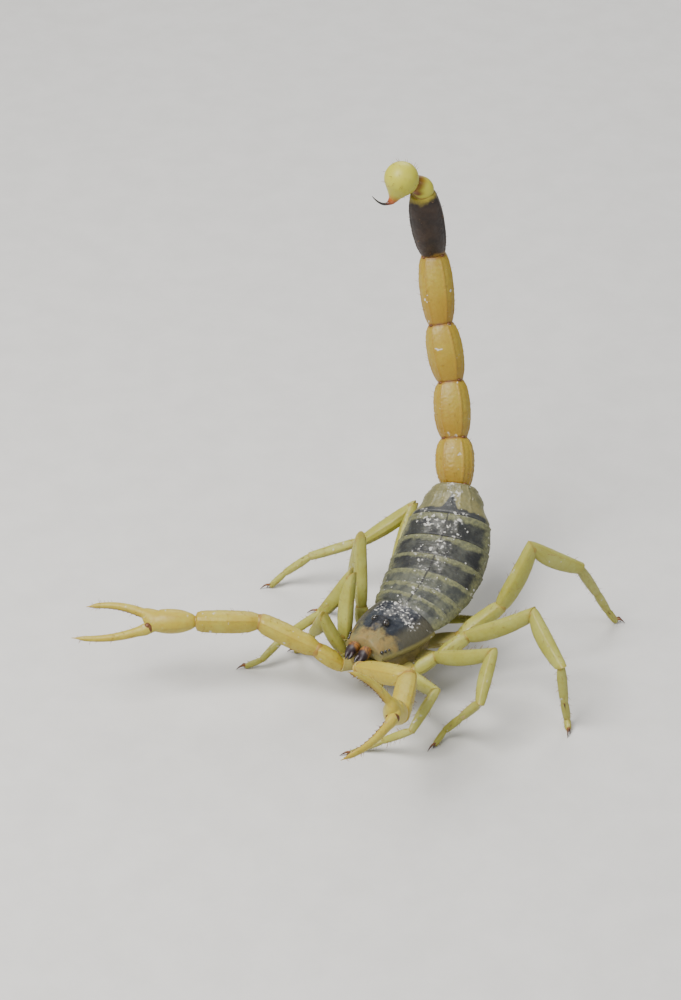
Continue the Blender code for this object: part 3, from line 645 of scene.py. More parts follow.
def shield_finish():
    """Front shield: tan with a little orange along its front, slate behind, grey-brown flanks, pale dust."""
    n = Nodes("shield_shell")
    mottle = n.noise(420.0, 4.0, 0.62)
    patchy = n.noise(260.0, 4.0, 0.6, 6.0)
    fine = n.noise(2600.0, 3.0, 0.6, 5.0)
    bend = n.times(n.times(n.across, n.across), 0.10)
    shift = n.plus(n.plus(n.along, bend), n.span(patchy, 0.3, 0.7, -0.15, 0.15))
    shift = n.plus(shift, n.span(n.noise(1200.0, 3.0, 0.6, 2.0), 0.3, 0.7, -0.06, 0.06))
    front = n.mix(n.span(mottle, 0.38, 0.62), (0.222, 0.154, 0.052), (0.160, 0.148, 0.068))
    slate = n.mix(n.span(mottle, 0.35, 0.65), (0.007, 0.009, 0.017), (0.030, 0.035, 0.042))
    colour = n.mix(n.span(shift, 0.18, 0.36), front, slate)
    flank = n.times(n.span(n.across, 0.50, 0.78), n.span(n.along, 0.20, 0.42))
    colour = n.mix(n.times(flank, 0.75), colour, (0.088, 0.080, 0.052))
    rim = n.times(n.span(n.across, 0.95, 0.99), n.span(mottle, 0.2, 0.5, 0.5, 0.9))
    colour = n.mix(rim, colour, (0.20, 0.175, 0.060))
    ridge = n.times(n.span(n.keel, 0.35, 0.9), n.span(n.along, 0.26, 0.18, 0.0, 0.5))
    colour = n.mix(ridge, colour, (0.225, 0.165, 0.060))
    mound = n.times(n.span(n.keel, 0.40, 0.85), n.span(n.along, 0.24, 0.30, 0.0, 0.85))
    colour = n.mix(n.times(mound, n.span(n.across, 0.34, 0.24)), colour, (0.010, 0.011, 0.014))
    furrow = n.times(n.span(n.across, 0.05, 0.0), n.span(n.along, 0.42, 0.5, 0.0, 0.8))
    colour = n.mix(furrow, colour, (0.006, 0.007, 0.010))
    where = n.times(n.span(n.along, 0.36, 0.70, -0.5, 1.0), n.span(n.across, 0.95, 0.50, 0.15, 1.0))
    colour, specks = dusted(n, colour, 1.15, where)
    roughness = n.rough(fine, 0.42, 0.60, specks)
    pits = n.cells(3000.0)
    bumps = ((pits, 0.35, 0.00006), (fine, 0.3, 0.00008), (specks, 0.5, 0.00008))
    return n.done(colour, roughness, bumps, 0.03, 0.04, 0.22)


def back_finish(name, dark_tone, light_tone, reach):
    """Back plates: dark slate to the sides, a soft olive rear band, a black middle line and dust."""
    n = Nodes(name)
    mottle = n.noise(520.0, 4.0, 0.65)
    fine = n.noise(2500.0, 3.0, 0.6, 2.0)
    shift = n.plus(n.along, n.span(mottle, 0.3, 0.7, -0.09, 0.09))
    dark = n.mix(n.span(mottle, 0.38, 0.66), dark_tone, light_tone)
    pale = n.mix(n.span(fine, 0.35, 0.65), (0.170, 0.172, 0.082), (0.100, 0.104, 0.060))
    band = n.span(shift, reach, reach + 0.16, 0.0, 0.92)
    wander = n.plus(n.across, n.span(mottle, 0.3, 0.7, -0.05, 0.05))
    colour = n.mix(n.most(band, n.span(wander, 0.82, 0.96)), dark, pale)
    middle = n.times(n.span(n.across, 0.030, 0.012, 0.0, 0.85), n.span(mottle, 0.25, 0.5, 0.4, 1.0))
    colour = n.mix(middle, colour, (0.010, 0.010, 0.012))
    colour = n.mix(n.times(n.keel, 0.15), colour, (0.10, 0.100, 0.070))
    where = n.span(n.across, 0.78, 0.20, 0.18, 1.0)
    colour, specks = dusted(n, colour, 0.72, where)
    roughness = n.rough(fine, 0.44, 0.62, specks)
    pits = n.cells(3000.0)
    bumps = ((pits, 0.3, 0.00006), (fine, 0.3, 0.00008), (specks, 0.5, 0.00008))
    return n.done(colour, roughness, bumps, 0.04, 0.04, 0.3)


def last_back_finish():
    """Last back plate: olive, with a dark wedge that flares into a dark strip along its front."""
    n = Nodes("last_back_shell")
    mottle = n.noise(520.0, 4.0, 0.65)
    fine = n.noise(2500.0, 3.0, 0.6, 9.0)
    pale = n.mix(n.span(mottle, 0.35, 0.65), (0.200, 0.180, 0.070), (0.130, 0.124, 0.058))
    wobble = n.span(mottle, 0.3, 0.7, -0.06, 0.06)
    spike = n.span(n.across, 0.0, 0.26, 0.44, 0.0)
    reach = n.plus(spike, n.span(n.across, 0.10, 0.70, 0.27, 0.22))
    wedge = n.span(n.plus(n.minus(reach, n.along), wobble), -0.02, 0.06)
    colour = n.mix(wedge, pale, (0.028, 0.030, 0.030))
    colour = n.mix(n.span(n.across, 0.88, 0.97, 0.0, 0.7), colour, (0.170, 0.168, 0.076))
    colour = n.mix(n.times(n.keel, n.span(wedge, 0.5, 0.0, 0.0, 0.35)), colour, (0.25, 0.22, 0.085))
    where = n.span(n.across, 0.60, 0.15, 0.10, 1.0)
    colour, specks = dusted(n, colour, 0.90, where)
    roughness = n.rough(fine, 0.42, 0.60, specks)
    return n.done(colour, roughness, ((fine, 0.3, 0.00008), (specks, 0.5, 0.00008)), 0.08, 0.06)


def dark_finish():
    """Fifth tail segment: matte blackish brown, yellow at its far end and a little at its root."""
    n = Nodes("dark_shell")
    mottle = n.noise(420.0, 4.0, 0.6)
    fine = n.noise(2400.0, 3.0, 0.6, 4.0)
    dark = n.mix(n.span(mottle, 0.35, 0.65), (0.012, 0.0065, 0.005), (0.034, 0.018, 0.011))
    shift = n.plus(n.along, n.span(mottle, 0.3, 0.7, -0.05, 0.05))
    colour = n.mix(n.span(shift, 0.0, 0.09), (0.20, 0.11, 0.012), dark)
    colour = n.mix(n.span(shift, 0.91, 1.03), colour, (0.36, 0.29, 0.026))
    roughness = n.rough(fine, 0.50, 0.66)
    return n.done(colour, roughness, ((fine, 0.25, 0.00006),), 0.04, 0.02)


def bulb_finish():
    """Venom bulb: smooth lemon, with orange-brown painted shade in the crease at its neck and under the neck.
    """
    n = Nodes("bulb_shell")
    mottle = n.noise(300.0, 3.0, 0.5)
    fine = n.noise(2600.0, 2.0, 0.5, 1.0)
    colour = n.mix(n.span(mottle, 0.3, 0.7), (0.41, 0.375, 0.030), (0.45, 0.435, 0.050))
    colour = n.mix(n.span(n.along, 0.80, 1.0, 0.0, 0.85), colour, (0.36, 0.085, 0.014))
    # Painted shade: the keel paint marks the crease round the neck and the neck's underside, darkened to
    # orange-brown.
    colour = n.mix(n.times(n.keel, 0.97), colour, (0.19, 0.060, 0.003))
    return n.done(colour, n.rough(fine, 0.38, 0.50), ((fine, 0.15, 0.00005),), 0.06, 0.12, 0.3)


def sting_finish():
    """Sting: orange-red at its root, black at its point."""
    n = Nodes("sting_shell")
    fine = n.noise(1800.0, 3.0, 0.5)
    colour = n.mix(n.span(n.along, 0.05, 0.30), (0.36, 0.085, 0.014), (0.09, 0.018, 0.008))
    colour = n.mix(n.span(n.along, 0.26, 0.48), colour, (0.008, 0.006, 0.006))
    return n.done(colour, n.rough(fine, 0.18, 0.28), ((fine, 0.08, 0.00004),), 0.4)


def claw_finish(name, root, tip):
    """Small hard points such as claws and spurs."""
    n = Nodes(name)
    fine = n.noise(2500.0, 3.0, 0.5)
    colour = n.mix(n.span(n.along, 0.1, 0.8), root, tip)
    colour = n.mix(n.span(fine, 0.5, 0.8, 0.0, 0.4), colour, tip)
    return n.done(colour, n.rough(fine, 0.32, 0.46), ((fine, 0.1, 0.00003),), 0.12)


def chelicera_finish():
    """Pincers: orange-yellow hands with a dark net, turning dark at the fingers, with painted shade over the
    front of the hands.
    """
    n = Nodes("chelicera_shell")
    net = n.cells(1500.0, "DISTANCE_TO_EDGE")
    fine = n.noise(2200.0, 3.0, 0.6)
    base = n.mix(n.span(fine, 0.35, 0.65), (0.30, 0.115, 0.012), (0.22, 0.10, 0.016))
    lines = n.times(n.span(net, 0.09, 0.03), 0.7)
    colour = n.mix(lines, base, (0.05, 0.018, 0.014))
    # The near-black front is the fingers' own dark colour deepened by painted shade.
    colour = n.mix(n.span(n.along, 0.34, 0.54), colour, (0.014, 0.005, 0.009))
    return n.done(colour, n.rough(fine, 0.48, 0.62), ((fine, 0.2, 0.00006),), 0.05, 0.05)


def membrane_finish(name, base, deep):
    """Soft joint skin with fine folds."""
    n = Nodes(name)
    folds = n.noise(1500.0, 4.0, 0.6)
    colour = n.mix(n.span(folds, 0.35, 0.68), base, deep)
    return n.done(colour, n.rough(folds, 0.46, 0.64), ((folds, 0.5, 0.00012),), 0.05, 0.15)


def eye_finish():
    """Glossy black eye."""
    n = Nodes("eye_lens")
    veil = n.noise(900.0, 2.0, 0.5)
    colour = n.mix(n.span(veil, 0.4, 0.7), (0.006, 0.005, 0.005), (0.020, 0.012, 0.008))
    return n.done(colour, n.rough(veil, 0.05, 0.09), (), 1.0)


def hair_finish():
    """Fine reddish bristles."""
    n = Nodes("bristle")
    tone = n.noise(700.0, 2.0, 0.5)
    colour = n.mix(n.span(tone, 0.35, 0.65), (0.30, 0.16, 0.05), (0.16, 0.07, 0.02))
    return n.done(colour, n.rough(tone, 0.4, 0.5), (), 0.1)


def floor_finish():
    """Plain pale floor with a faint grain."""
    n = Nodes("pale_floor")
    grain = n.noise(180.0, 4.0, 0.6)
    colour = n.mix(n.span(grain, 0.3, 0.7), (0.60, 0.59, 0.57), (0.64, 0.63, 0.61))
    return n.done(colour, n.rough(grain, 0.75, 0.85), (), 0.0)


# Shapes shared by legs, pedipalps and tail


def keel_table(angles, width, sides):
    """How much of a keel each point of a ring is."""
    table = []
    for step in range(sides):
        here = 360.0 * step / sides
        table.append(max(bump((here - angle + 180.0) % 360.0 - 180.0, width) for angle in angles))
    return table


def tube(shape, ends, hint, form, rows, sides, power, keels, keel_width, ridge, beads,
         hollow=0.0, rough=0.012, close=0.06, bow=0.0, enter=0.0):
    """One hard piece of a limb: keels with rows of granules, leaned to its joint planes.

    It enters the cup of the piece before it by a short way.
    """
    start, end, plane_in, plane_out = ends
    axis = (end - start).normalized()
    side, up = cross_frame(axis, hint)
    first = start + axis * ((close - enter) / axis.dot(plane_in))
    last = end - axis * (close / axis.dot(plane_out))
    span = (last - first).length
    table = keel_table(keels, keel_width, sides)
    rings, paints = [], []
    for share in shares(rows):
        half_width, half_height = curve_rows(form, share)
        near_start = max(0.0, 1.0 - share / 0.4) * min(1.0, 1.25 * axis.dot(plane_in))
        near_end = max(0.0, 1.0 - (1.0 - share) / 0.4) * min(1.0, 1.25 * axis.dot(plane_out))
        inside = within(share, 0.0, 0.08, 1.0, 0.08)
        arch = up * (bow * math.sin(math.pi * share))
        ring, paint = [], []
        for angle, ridged in zip(round_angles(sides), table):
            keel = ridged * inside
            around = Vector((beads * share, 7.0 * math.cos(angle), 7.0 * math.sin(angle)))
            bead = smooth(0.5 + 1.2 * noise.noise(around))
            swell = squarish(angle, power)
            swell *= 1.0 + ridge * keel * (0.6 + 0.4 * bead) - hollow * (1.0 - ridged) * inside
            offset = side * (half_width * swell * math.cos(angle))
            offset += up * (half_height * swell * math.sin(angle))
            lean = -near_start * offset.dot(plane_in) / axis.dot(plane_in)
            lean -= near_end * offset.dot(plane_out) / axis.dot(plane_out)
            point = first + axis * (span * share + lean) + arch
            grain = noise.noise((point + offset) * 3.1) * rough
            ring.append(point + offset * (1.0 + grain))
            paint.append((share, 0.5 + 0.5 * math.sin(angle), keel * (0.7 + 0.3 * bead), 1.0))
        rings.append(ring)
        paints.append(paint)
    shape.loft(rings, paints)


def bristles(shape, ends, hint, form, count, length, rng, spread=0.8, strip=(0.0, 1.0)):
    """Fine hairs that stand out of a limb piece and lean towards its far end."""
    start, end = ends[0], ends[1]
    axis = (end - start).normalized()
    side, up = cross_frame(axis, hint)
    for _ in range(count):
        share = rng.uniform(0.08, 0.94)
        half_width, half_height = curve_rows(form, share)
        angle = rng.uniform(0.0, 2.0 * math.pi)
        away = side * (half_width * math.cos(angle)) + up * (half_height * math.sin(angle))
        root = start + (end - start) * share + away * 0.93
        lean = (away.normalized() * spread + axis * rng.uniform(0.4, 1.0)).normalized()
        place = (strip[0] + (strip[1] - strip[0]) * share, angle / (2.0 * math.pi))
        shape.hair(root, lean, length * rng.uniform(0.5, 1.0), place)


# Front part of the body


def carapace(finish, eye):
    """Shield with its eye mound, granular keels, furrow and side eyes."""
    rows, half_count = 96, 40
    ahead_eye, mound_reach, mound_height = EYE_MOUND
    rings, paints = [], []
    for along in shares(rows):
        ahead = CARAPACE_LENGTH * (0.5 - along)
        widen = math.sin(0.5 * math.pi * min(1.0, along * 1.12))
        half = 0.5 * (CARAPACE_FRONT_WIDTH + (CARAPACE_REAR_WIDTH - CARAPACE_FRONT_WIDTH) * widen)
        rise = CARAPACE_RISE * (0.52 + 0.48 * min(1.0, along * 2.2) ** 0.7)
        rise -= 0.25 * smooth((along - 0.93) / 0.07)
        tuck = 0.16 * (1.0 - smooth(along / 0.03)) + 0.12 * (1.0 - smooth((1.0 - along) / 0.03))
        ring, paint = [], []
        for step in range(-half_count, half_count + 1):
            share = math.sin(0.5 * math.pi * step / half_count)
            side = abs(share)
            dome = (1.0 - side ** 2.6) ** 0.75
            above = CARAPACE_BRIM + 0.35 + (rise - tuck - CARAPACE_BRIM - 0.35) * dome
            near_mound = max(0.0, 1.0 - ((ahead - ahead_eye) / mound_reach) ** 2)
            mound = near_mound * max(0.0, 1.0 - (share / 0.3) ** 2)
            above += mound_height * mound ** 0.8
            brow = bump(side - 0.17, 0.035) * within(along, 0.12, 0.1, 0.58, 0.1)
            rear = bump(side - (0.40 - 0.16 * smooth((along - 0.6) / 0.35)), 0.03)
            rear *= within(along, 0.55, 0.08, 0.985, 0.03)
            outer = bump(side - (0.62 - 0.1 * along), 0.03)
            outer *= within(along, 0.42, 0.1, 0.9, 0.1)
            front = bump(side - 0.45, 0.03) * within(along, 0.08, 0.06, 0.4, 0.1)
            lines = max(brow, rear, outer, front)
            beads = smooth(0.5 + 1.3 * noise.noise(Vector((ahead, share * half, 3.0)) * 3.4))
            above += 0.13 * lines * (0.4 + 0.6 * beads)
            furrow = bump(share, 0.05) * (smooth((along - 0.56) / 0.08) + 0.8 * smooth((0.2 - along) / 0.1))
            above -= 0.16 * furrow
            cross_furrow = bump(along - (0.70 + 0.18 * side), 0.022) * smooth((side - 0.1) / 0.2)
            above -= 0.10 * cross_furrow * smooth((0.85 - side) / 0.1)
            spot = on_shield(ahead, share * half, above)
            grain = max(0.0, noise.noise(spot * 4.3)) * 0.10 + max(0.0, noise.noise(spot * 9.0)) * 0.05
            above += grain * smooth((along - 0.02) / 0.05) * smooth((1.0 - side) / 0.08)
            notch = 0.22 * max(0.0, 1.0 - side / 0.4) * (1.0 - smooth(along / 0.06))
            ring.append(on_shield(ahead - notch, share * half, above))
            paint.append((along, side, min(1.0, 0.7 * lines + mound), 1.0))
        for share in (0.97, 0.8, 0.5, 0.2, -0.2, -0.5, -0.8, -0.97):
            ring.append(on_shield(ahead, share * half, CARAPACE_BRIM))
            paint.append((along, 1.0, 0.0, 1.0))
        rings.append(ring)
        paints.append(paint)
    shape = Shape()
    shape.loft(rings, paints, round_ends=False)
    shape.finish("carapace_shell", finish, ["carapace"], "shield")
    lenses = Shape()
    for side, sign in SIDES.items():
        for place in range(3):
            spot = on_shield(3.70 - 0.42 * place, sign * (2.34 + 0.2 * place), 0.34 + 0.05 * place)
            axis = (LEFT * sign * 0.7 + SHIELD_UP * 0.6 + SHIELD_FORWARD * 0.3).normalized()
            lenses.ball(spot, axis, 0.22 - 0.03 * place, 0.9, sides=16, rows=10)
    lenses.finish("side_eyes", eye, ["carapace"], "eye")
    for side, sign in SIDES.items():
        axis = (LEFT * sign * 0.8 + SHIELD_UP * 0.6).normalized()
        level = CARAPACE_RISE + 0.5 * EYE_MOUND[2] - 0.05
        lens = Shape()
        lens.ball(on_shield(ahead_eye, sign * 0.80, level), axis, MEDIAN_EYE_RADIUS, 0.8, sides=28, rows=18)
        lens.finish(f"median_eye_{side}", eye, [f"eye_{side}"], "eye")


def chelicerae(finish, tip_finish):
    """Short pincers in front of the mouth, each with two dark fingers."""
    sides = 28
    for side, sign in SIDES.items():
        rings, paints = [], []
        for share in shares(40):
            ahead, left, above, wide, high = curve_rows(CHELICERA_FORM, share)
            middle = on_shield(ahead, sign * left, above)
            ring = oval(middle, LEFT * (sign * wide), SHIELD_UP * high, sides, 2.3)
            paint = []
            for spot, angle in zip(ring, round_angles(sides)):
                net = 0.5 + 0.5 * noise.noise(spot * 5.0)
                paint.append((share, 0.5 + 0.5 * math.sin(angle), net, 1.0))
            rings.append(ring)
            paints.append(paint)
        hand = Shape()
        hand.loft(rings, paints)
        hand.finish(f"chelicera_hand_{side}", finish, [f"chelicera_{side}"], "amber")
        finger = Shape()
        rings = []
        for share in shares(16):
            ahead, left, above, size = curve_rows(CHELICERA_FINGER, share)
            middle = on_shield(ahead, sign * left, above)
            rings.append(oval(middle, LEFT * (sign * size), SHIELD_UP * size, 14))
        finger.plain_loft(rings)
        for tooth in range(4):
            ahead, left, above, size = curve_rows(CHELICERA_FINGER, 0.3 + 0.18 * tooth)
            spot = on_shield(ahead, sign * (left + size), above)
            finger.ball(spot, LEFT * sign, 0.09, 1.2, (0.9, 0.5, 0.0, 1.0), 8, 5)
        finger.finish(f"chelicera_finger_{side}", tip_finish, [f"chelicera_{side}"], "claw")


def hip_start(side, number):
    """Point inside the underside where a hip plate starts."""
    return on_body(HIP_STARTS[number], SIDES[side] * HIP_START_OUT, CARAPACE_BRIM - GAP - 1.0)


def palp_start(side):
    """Point inside the underside where the base of a pedipalp starts."""
    return on_body(PALP_START[0], SIDES[side] * PALP_START[1], CARAPACE_BRIM - GAP - 0.75)


def underside(finish, skin):
    """Breast plate, hip plates of the legs and bases of the pedipalps, over a soft skin."""
    top = CARAPACE_BRIM - 0.1
    body = Shape()
    rings, paints = [], []
    for share in shares(36):
        ahead, half, thick = curve_rows(BREAST_FORM, share)
        ring, paint = [], []
        for angle in round_angles(32):
            swell = squarish(angle, 3.0)
            lift = min(0.0, -0.5 * thick + 0.5 * thick * swell * math.sin(angle))
            ring.append(on_shield(ahead, half * swell * math.cos(angle), top + lift))
            paint.append((share, 0.5 + 0.5 * math.sin(angle), 0.0, 1.0))
        rings.append(ring)
        paints.append(paint)
    body.loft(rings, paints)
    body.finish("breast_skin", skin, ["underside"], "lemon")
    plate = Shape()
    rings = []
    for share in shares(20):
        half = 0.35 + 0.85 * math.sin(0.5 * math.pi * min(1.0, share * 1.25))
        rings.append(oval(on_body(-2.2 - 3.6 * share, 0.0, top - 1.75), LEFT * half, UP * 0.28, 24))
    plate.plain_loft(rings)
    plate.finish("breast_plate", finish, ["underside"], "lemon")
    for side, sign in SIDES.items():
        for number, (ahead, out, above) in HIPS.items():
            thick = 0.5 * LEG_THICKNESS[number]
            form = ((0.0, 0.55, 0.5), (0.3, 0.92 * thick, 0.56), (0.7, 1.1 * thick, 0.58),
                    (1.0, 0.8 * thick, 0.56))
            ends = (hip_start(side, number), on_body(ahead, sign * out, above))
            name = f"hip_{side}_{number}"
            under_plate(name, finish, side, ends, LEGS[(side, number)][0], form, 2.6, (200, 340), 12)
        ends = (palp_start(side), on_body(PALP_ROOT[0], sign * PALP_ROOT[1], PALP_ROOT[2]))
        name = f"palp_base_{side}"
        under_plate(name, finish, side, ends, PALP_PIECES[side][0], PALP_BASE_FORM, 2.4, (20, 160), 10)


def under_plate(name, finish, side, ends, next_piece, form, power, keels, beads):
    """One plate of the underside, from inside the body out to the root of a limb."""
    inner, outer = ends
    step = (outer - inner).normalized()
    plane = joint_plane(step, body_direction(side, *next_piece[1:]))
    plate = Shape()
    tube(plate, (inner, outer, step, plane), UP.cross(step), form, 30, 28, power, keels, 14.0, 0.05, beads)
    plate.finish(name, finish, ["underside"], "lemon")


# Hind body


def back_frames():
    """Centre line of the seven body segments, marched in small steps from the shield."""
    point = on_shield(-0.5 * (CARAPACE_LENGTH + GAP), 0.0, 0.0)
    frames = []
    for number in range(int(round(BACK_LENGTH / BACK_STEP)) + 1):
        share = number * BACK_STEP / BACK_LENGTH
        heading = BACK_HEADINGS[0] + (BACK_HEADINGS[1] - BACK_HEADINGS[0]) * share ** BACK_TURN_EASE
        climb = BACK_RISES[0] + (BACK_RISES[1] - BACK_RISES[0]) * share
        axis = direction(heading, climb)
        side = direction(heading - 90.0, 0.0)
        frames.append((share, point.copy(), axis, side, side.cross(axis)))
        point += axis * BACK_STEP
    return frames


def frame_at(frames, distance):
    """Centre line read at a distance from its front end."""
    number = max(0, min(int(distance / BACK_STEP), len(frames) - 1))
    share, point, axis, side, up = frames[number]
    beyond = distance - number * BACK_STEP
    return share + beyond / BACK_LENGTH, point + axis * beyond, axis, side, up


def eased_rows(rows, share):
    """Values of a table read at a share of the length, eased between its rows."""
    for low, high in zip(rows[:-1], rows[1:]):
        if share <= high[0]:
            ease = smooth((share - low[0]) / (high[0] - low[0]))
            return [a + (b - a) * ease for a, b in zip(low[1:], high[1:])]
    return list(rows[-1][1:])


def back_point(frames, distance, across, lift):
    """Point of the back's surface, lifted by a distance."""
    share, centre, _, side, up = frame_at(frames, distance)
    half, back, _ = eased_rows(BODY_FORM, max(0.0, share))
    dome = max(0.0, 1.0 - abs(across) ** 2.4) ** 0.62
    outward = (up * (0.35 + dome) - side * across).normalized()
    return centre - side * (across * half) + up * (back * dome) + outward * lift


def belly_point(frames, distance, angle, lift):
    """Point of the belly's surface, with the angle counted from the left edge."""
    share, centre, _, side, up = frame_at(frames, distance)
    half, _, belly = eased_rows(BODY_FORM, max(0.0, share))
    across = math.cos(angle) * (half * 0.95 + lift)
    below = (belly + lift) * math.sin(angle) ** 0.8
    return centre - side * across - up * below


def hind_body(frames, fore, rear, last_back, belly, skin, dark):
    """Seven back plates and five belly plates over one soft skin."""
    nodes = [f"body_segment_{number}" for number in range(1, 8)]
    soft = Shape()
    rings, paints = [], []
    last = 89
    for row in range(last + 1):
        share = row / last
        distance = 0.05 + (BACK_LENGTH - 0.25) * row / last
        ring, paint = [], []
        for step in range(32):
            across = -math.cos(math.pi * step / 32.0)
            ring.append(back_point(frames, distance, across * 0.985, -0.28))
            paint.append((share, abs(across), 0.0, 1.0))
        for step in range(24):
            angle = math.pi * (step + 0.5) / 24.0
            fold = 0.05 * math.sin(distance * 9.0)
            ring.append(belly_point(frames, distance, angle, -0.28 + fold))
            paint.append((share, 1.0, 0.0, 1.0))
        rings.append(ring)
        paints.append(paint)
    soft.loft(rings, paints)
    soft.finish("hind_body_skin", skin, nodes, "back")
    distance = 0.0
    for number, length in enumerate(SEGMENT_LENGTHS, start=1):
        tergite(frames, number, distance, length, last_back if number == 7 else fore if number < 4 else rear)
        if number >= 3:
            sternite(frames, number, distance, length, belly, dark)
        distance += length


def tergite(frames, number, distance, length, finish):
    """One back plate: keels of granules, a smooth front rim and a raised rear edge."""
    rows, half_count = 44, 44
    overlap = 0.35 if number < 7 else 0.0
    keels = (0.0, 0.28, 0.58) if number in (1, 2, 7) else (0.0, 0.28)
    rings, paints = [], []
    for share in shares(rows):
        early = 0.0 if number > 1 else 0.24
        reach = distance + 0.02 - early + (length - 0.1 + overlap + early) * share
        tuck = -0.30 * (1.0 - smooth(share / 0.14)) if number > 1 else -0.42 * (1.0 - smooth(share / 0.3))
        flare = 0.10 * smooth((share - 0.25) / 0.6) - 0.10 * smooth((share - 0.94) / 0.06)
        outer, inner, paint = [], [], []
        for step in range(-half_count, half_count + 1):
            across = math.sin(0.5 * math.pi * step / half_count)
            side = abs(across)
            best = 0.0
            for keel in keels:
                strength = 0.6 if keel == 0.0 else 1.0
                best = max(best, strength * bump(side - keel, 0.026))
            best *= within(share, 0.2, 0.15, 0.97, 0.05)
            spot = back_point(frames, reach, across, tuck + flare)
            lift = tuck + flare + 0.11 * best * (0.4 + 0.6 * smooth(0.5 + 1.3 * noise.noise(spot * 3.4)))
            grain = max(0.0, noise.noise(spot * 5.0)) * 0.09 + max(0.0, noise.noise(spot * 11.0)) * 0.04
            grain *= within(share, 0.25, 0.2, 0.985, 0.03)
            rim = 0.06 * bump(share - 0.93, 0.03)
            outer.append(back_point(frames, reach, across, lift + grain + rim))
            paint.append((share, side, best, 1.0))
            inner.append(back_point(frames, reach, across * 0.985, lift - 0.2))
        rings.append(outer + list(reversed(inner)))
        paints.append(paint + [(share, 1.0, 0.0, 1.0)] * len(inner))
    plate = Shape()
    plate.loft(rings, paints, round_ends=False)
    plate.finish(f"back_plate_{number}", finish, [f"body_segment_{number}"], "back")


def sternite(frames, number, distance, length, finish, dark):
    """One belly plate, smooth and slightly domed, with a breathing slit on each side."""
    rows, count = 26, 56
    rings, paints = [], []
    for share in shares(rows):
        reach = distance + 0.05 + (length - 0.1) * share
        dome = 0.10 * math.sin(math.pi * share) ** 0.5 - 0.06
        outer, inner, paint = [], [], []
        for step in range(count):
            angle = math.pi * (0.10 + 0.80 * step / (count - 1))
            outer.append(belly_point(frames, reach, angle, dome))
            inner.append(belly_point(frames, reach, angle, dome - 0.2))
            paint.append((share, abs(step / (count - 1) * 2.0 - 1.0), 0.0, 1.0))
        rings.append(outer + list(reversed(inner)))
        paints.append(paint + [(share, 1.0, 0.0, 1.0)] * count)
    plate = Shape()
    plate.loft(rings, paints, round_ends=False)
    plate.finish(f"belly_plate_{number}", finish, [f"body_segment_{number}"], "back")
    if number == 7:
        return
    slits = Shape()
    for angle in (math.pi * 0.26, math.pi * 0.74):
        spot = belly_point(frames, distance + 0.5 * length, angle, 0.02)
        _, _, axis, side, _ = frame_at(frames, distance + 0.5 * length)
        along = (side + axis * (0.35 if angle < 1.0 else -0.35)).normalized()
        slits.ball(spot, along, 0.09, 4.2, PLAIN, 10, 10)
    slits.finish(f"breathing_slits_{number}", dark, [f"body_segment_{number}"], "dusk")


def pectines(finish):
    """The pair of combs: a jointed bar, a row of small knobs and thirty fine teeth."""
    for side, sign in SIDES.items():
        root = on_body(-8.0, sign * 0.75, -1.5)
        tip = on_body(-10.4, sign * 5.3, -1.0)
        along = (tip - root).normalized()
        back = (along.cross(UP) * -sign).normalized()
        if back.dot(FORWARD) > 0.0:
            back = -back
        normal = along.cross(back).normalized()
        comb = Shape()
        tube(comb, (root - back * 0.12, tip - back * 0.12, along, along), back, COMB_FORM, 50, 18, 2.2,
             (90,), 20.0, 0.05, 7)
        pitch = (tip - root).length / COMB_TEETH
        for number in range(COMB_TEETH):
            reach = 1.15 * (0.72 + 0.28 * math.sin(math.pi * (number + 0.5) / COMB_TEETH))
            start = root + along * ((number + 0.5) * pitch) + back * 0.12
            comb.ball(start + back * 0.06, back, 0.12, 0.9, (0.5, 0.5, 0.2, 1.0), 8, 5)
            rings = []
            for share in shares(9):
                size = 0.075 * (0.75 + 0.6 * math.sin(math.pi * share ** 0.8)) * (1.0 if share < 1.0 else 0.5)
                middle = start + back * (reach * share) - along * (0.05 * share)
                middle -= normal * (0.08 * share ** 2)
                rings.append(oval(middle, along * size, normal * (1.6 * size), 8))
            comb.plain_loft(rings)
        comb.finish(f"comb_{side}", finish, [f"pectine_{side}"], "lemon")


# Tail


def tail(frames, amber, dark, skin, soft, bulb, sting, hairs, rng):
    """Five keeled tail segments, the venom bulb and the sting."""
    _, start, plane, side, _ = frame_at(frames, BACK_LENGTH)
    for number, (length, width, depth, heading, climb) in enumerate(TAIL, start=1):
        axis = direction(heading, climb)
        end = start + axis * length
        last = number == len(TAIL)
        next_plane = axis if last else joint_plane(axis, direction(*TAIL[number][3:]))
        keels = KEELS_FIRST if number == 1 else KEELS_LAST if last else KEELS_FRONT
        side = (side - axis * side.dot(axis)).normalized()
        form = [(spot, 0.5 * width * size, 0.5 * depth * size) for spot, size in TAIL_PROFILE]
        ends = (start, end, plane, next_plane)
        nodes = [f"tail_segment_{number}"]
        segment = Shape()
        tube(segment, ends, side, form, 120, 132, 2.25, keels, 4.8, 0.042 if number < 4 else 0.036,
             int(length * (3.8 if last else 3.4)), hollow=0.025, rough=0.011, close=0.02)
        segment.finish(f"tail_shell_{number}", dark if last else amber, nodes, "dusk" if last else "amber")
        hair = Shape()
        bristles(hair, ends, side, form, 26, 0.9, rng, 1.2)
        hair.finish(f"tail_bristles_{number}", hairs, nodes, "claw")
        ring = Shape()
        ring.ball(start, plane, 0.335 * width, 0.6, PLAIN, 36, 14)
        for sign in (-1.0, 1.0):
            knob = start + side * (sign * 0.255 * width) + side.cross(plane) * (0.255 * depth)
            ring.ball(knob, plane, 0.27, 0.8, PLAIN, 16, 10)
        ring.finish(f"tail_joint_{number}", skin, nodes, "amber")
        start, plane = end, next_plane
    telson(start, axis, bulb, sting, soft, hairs, rng)


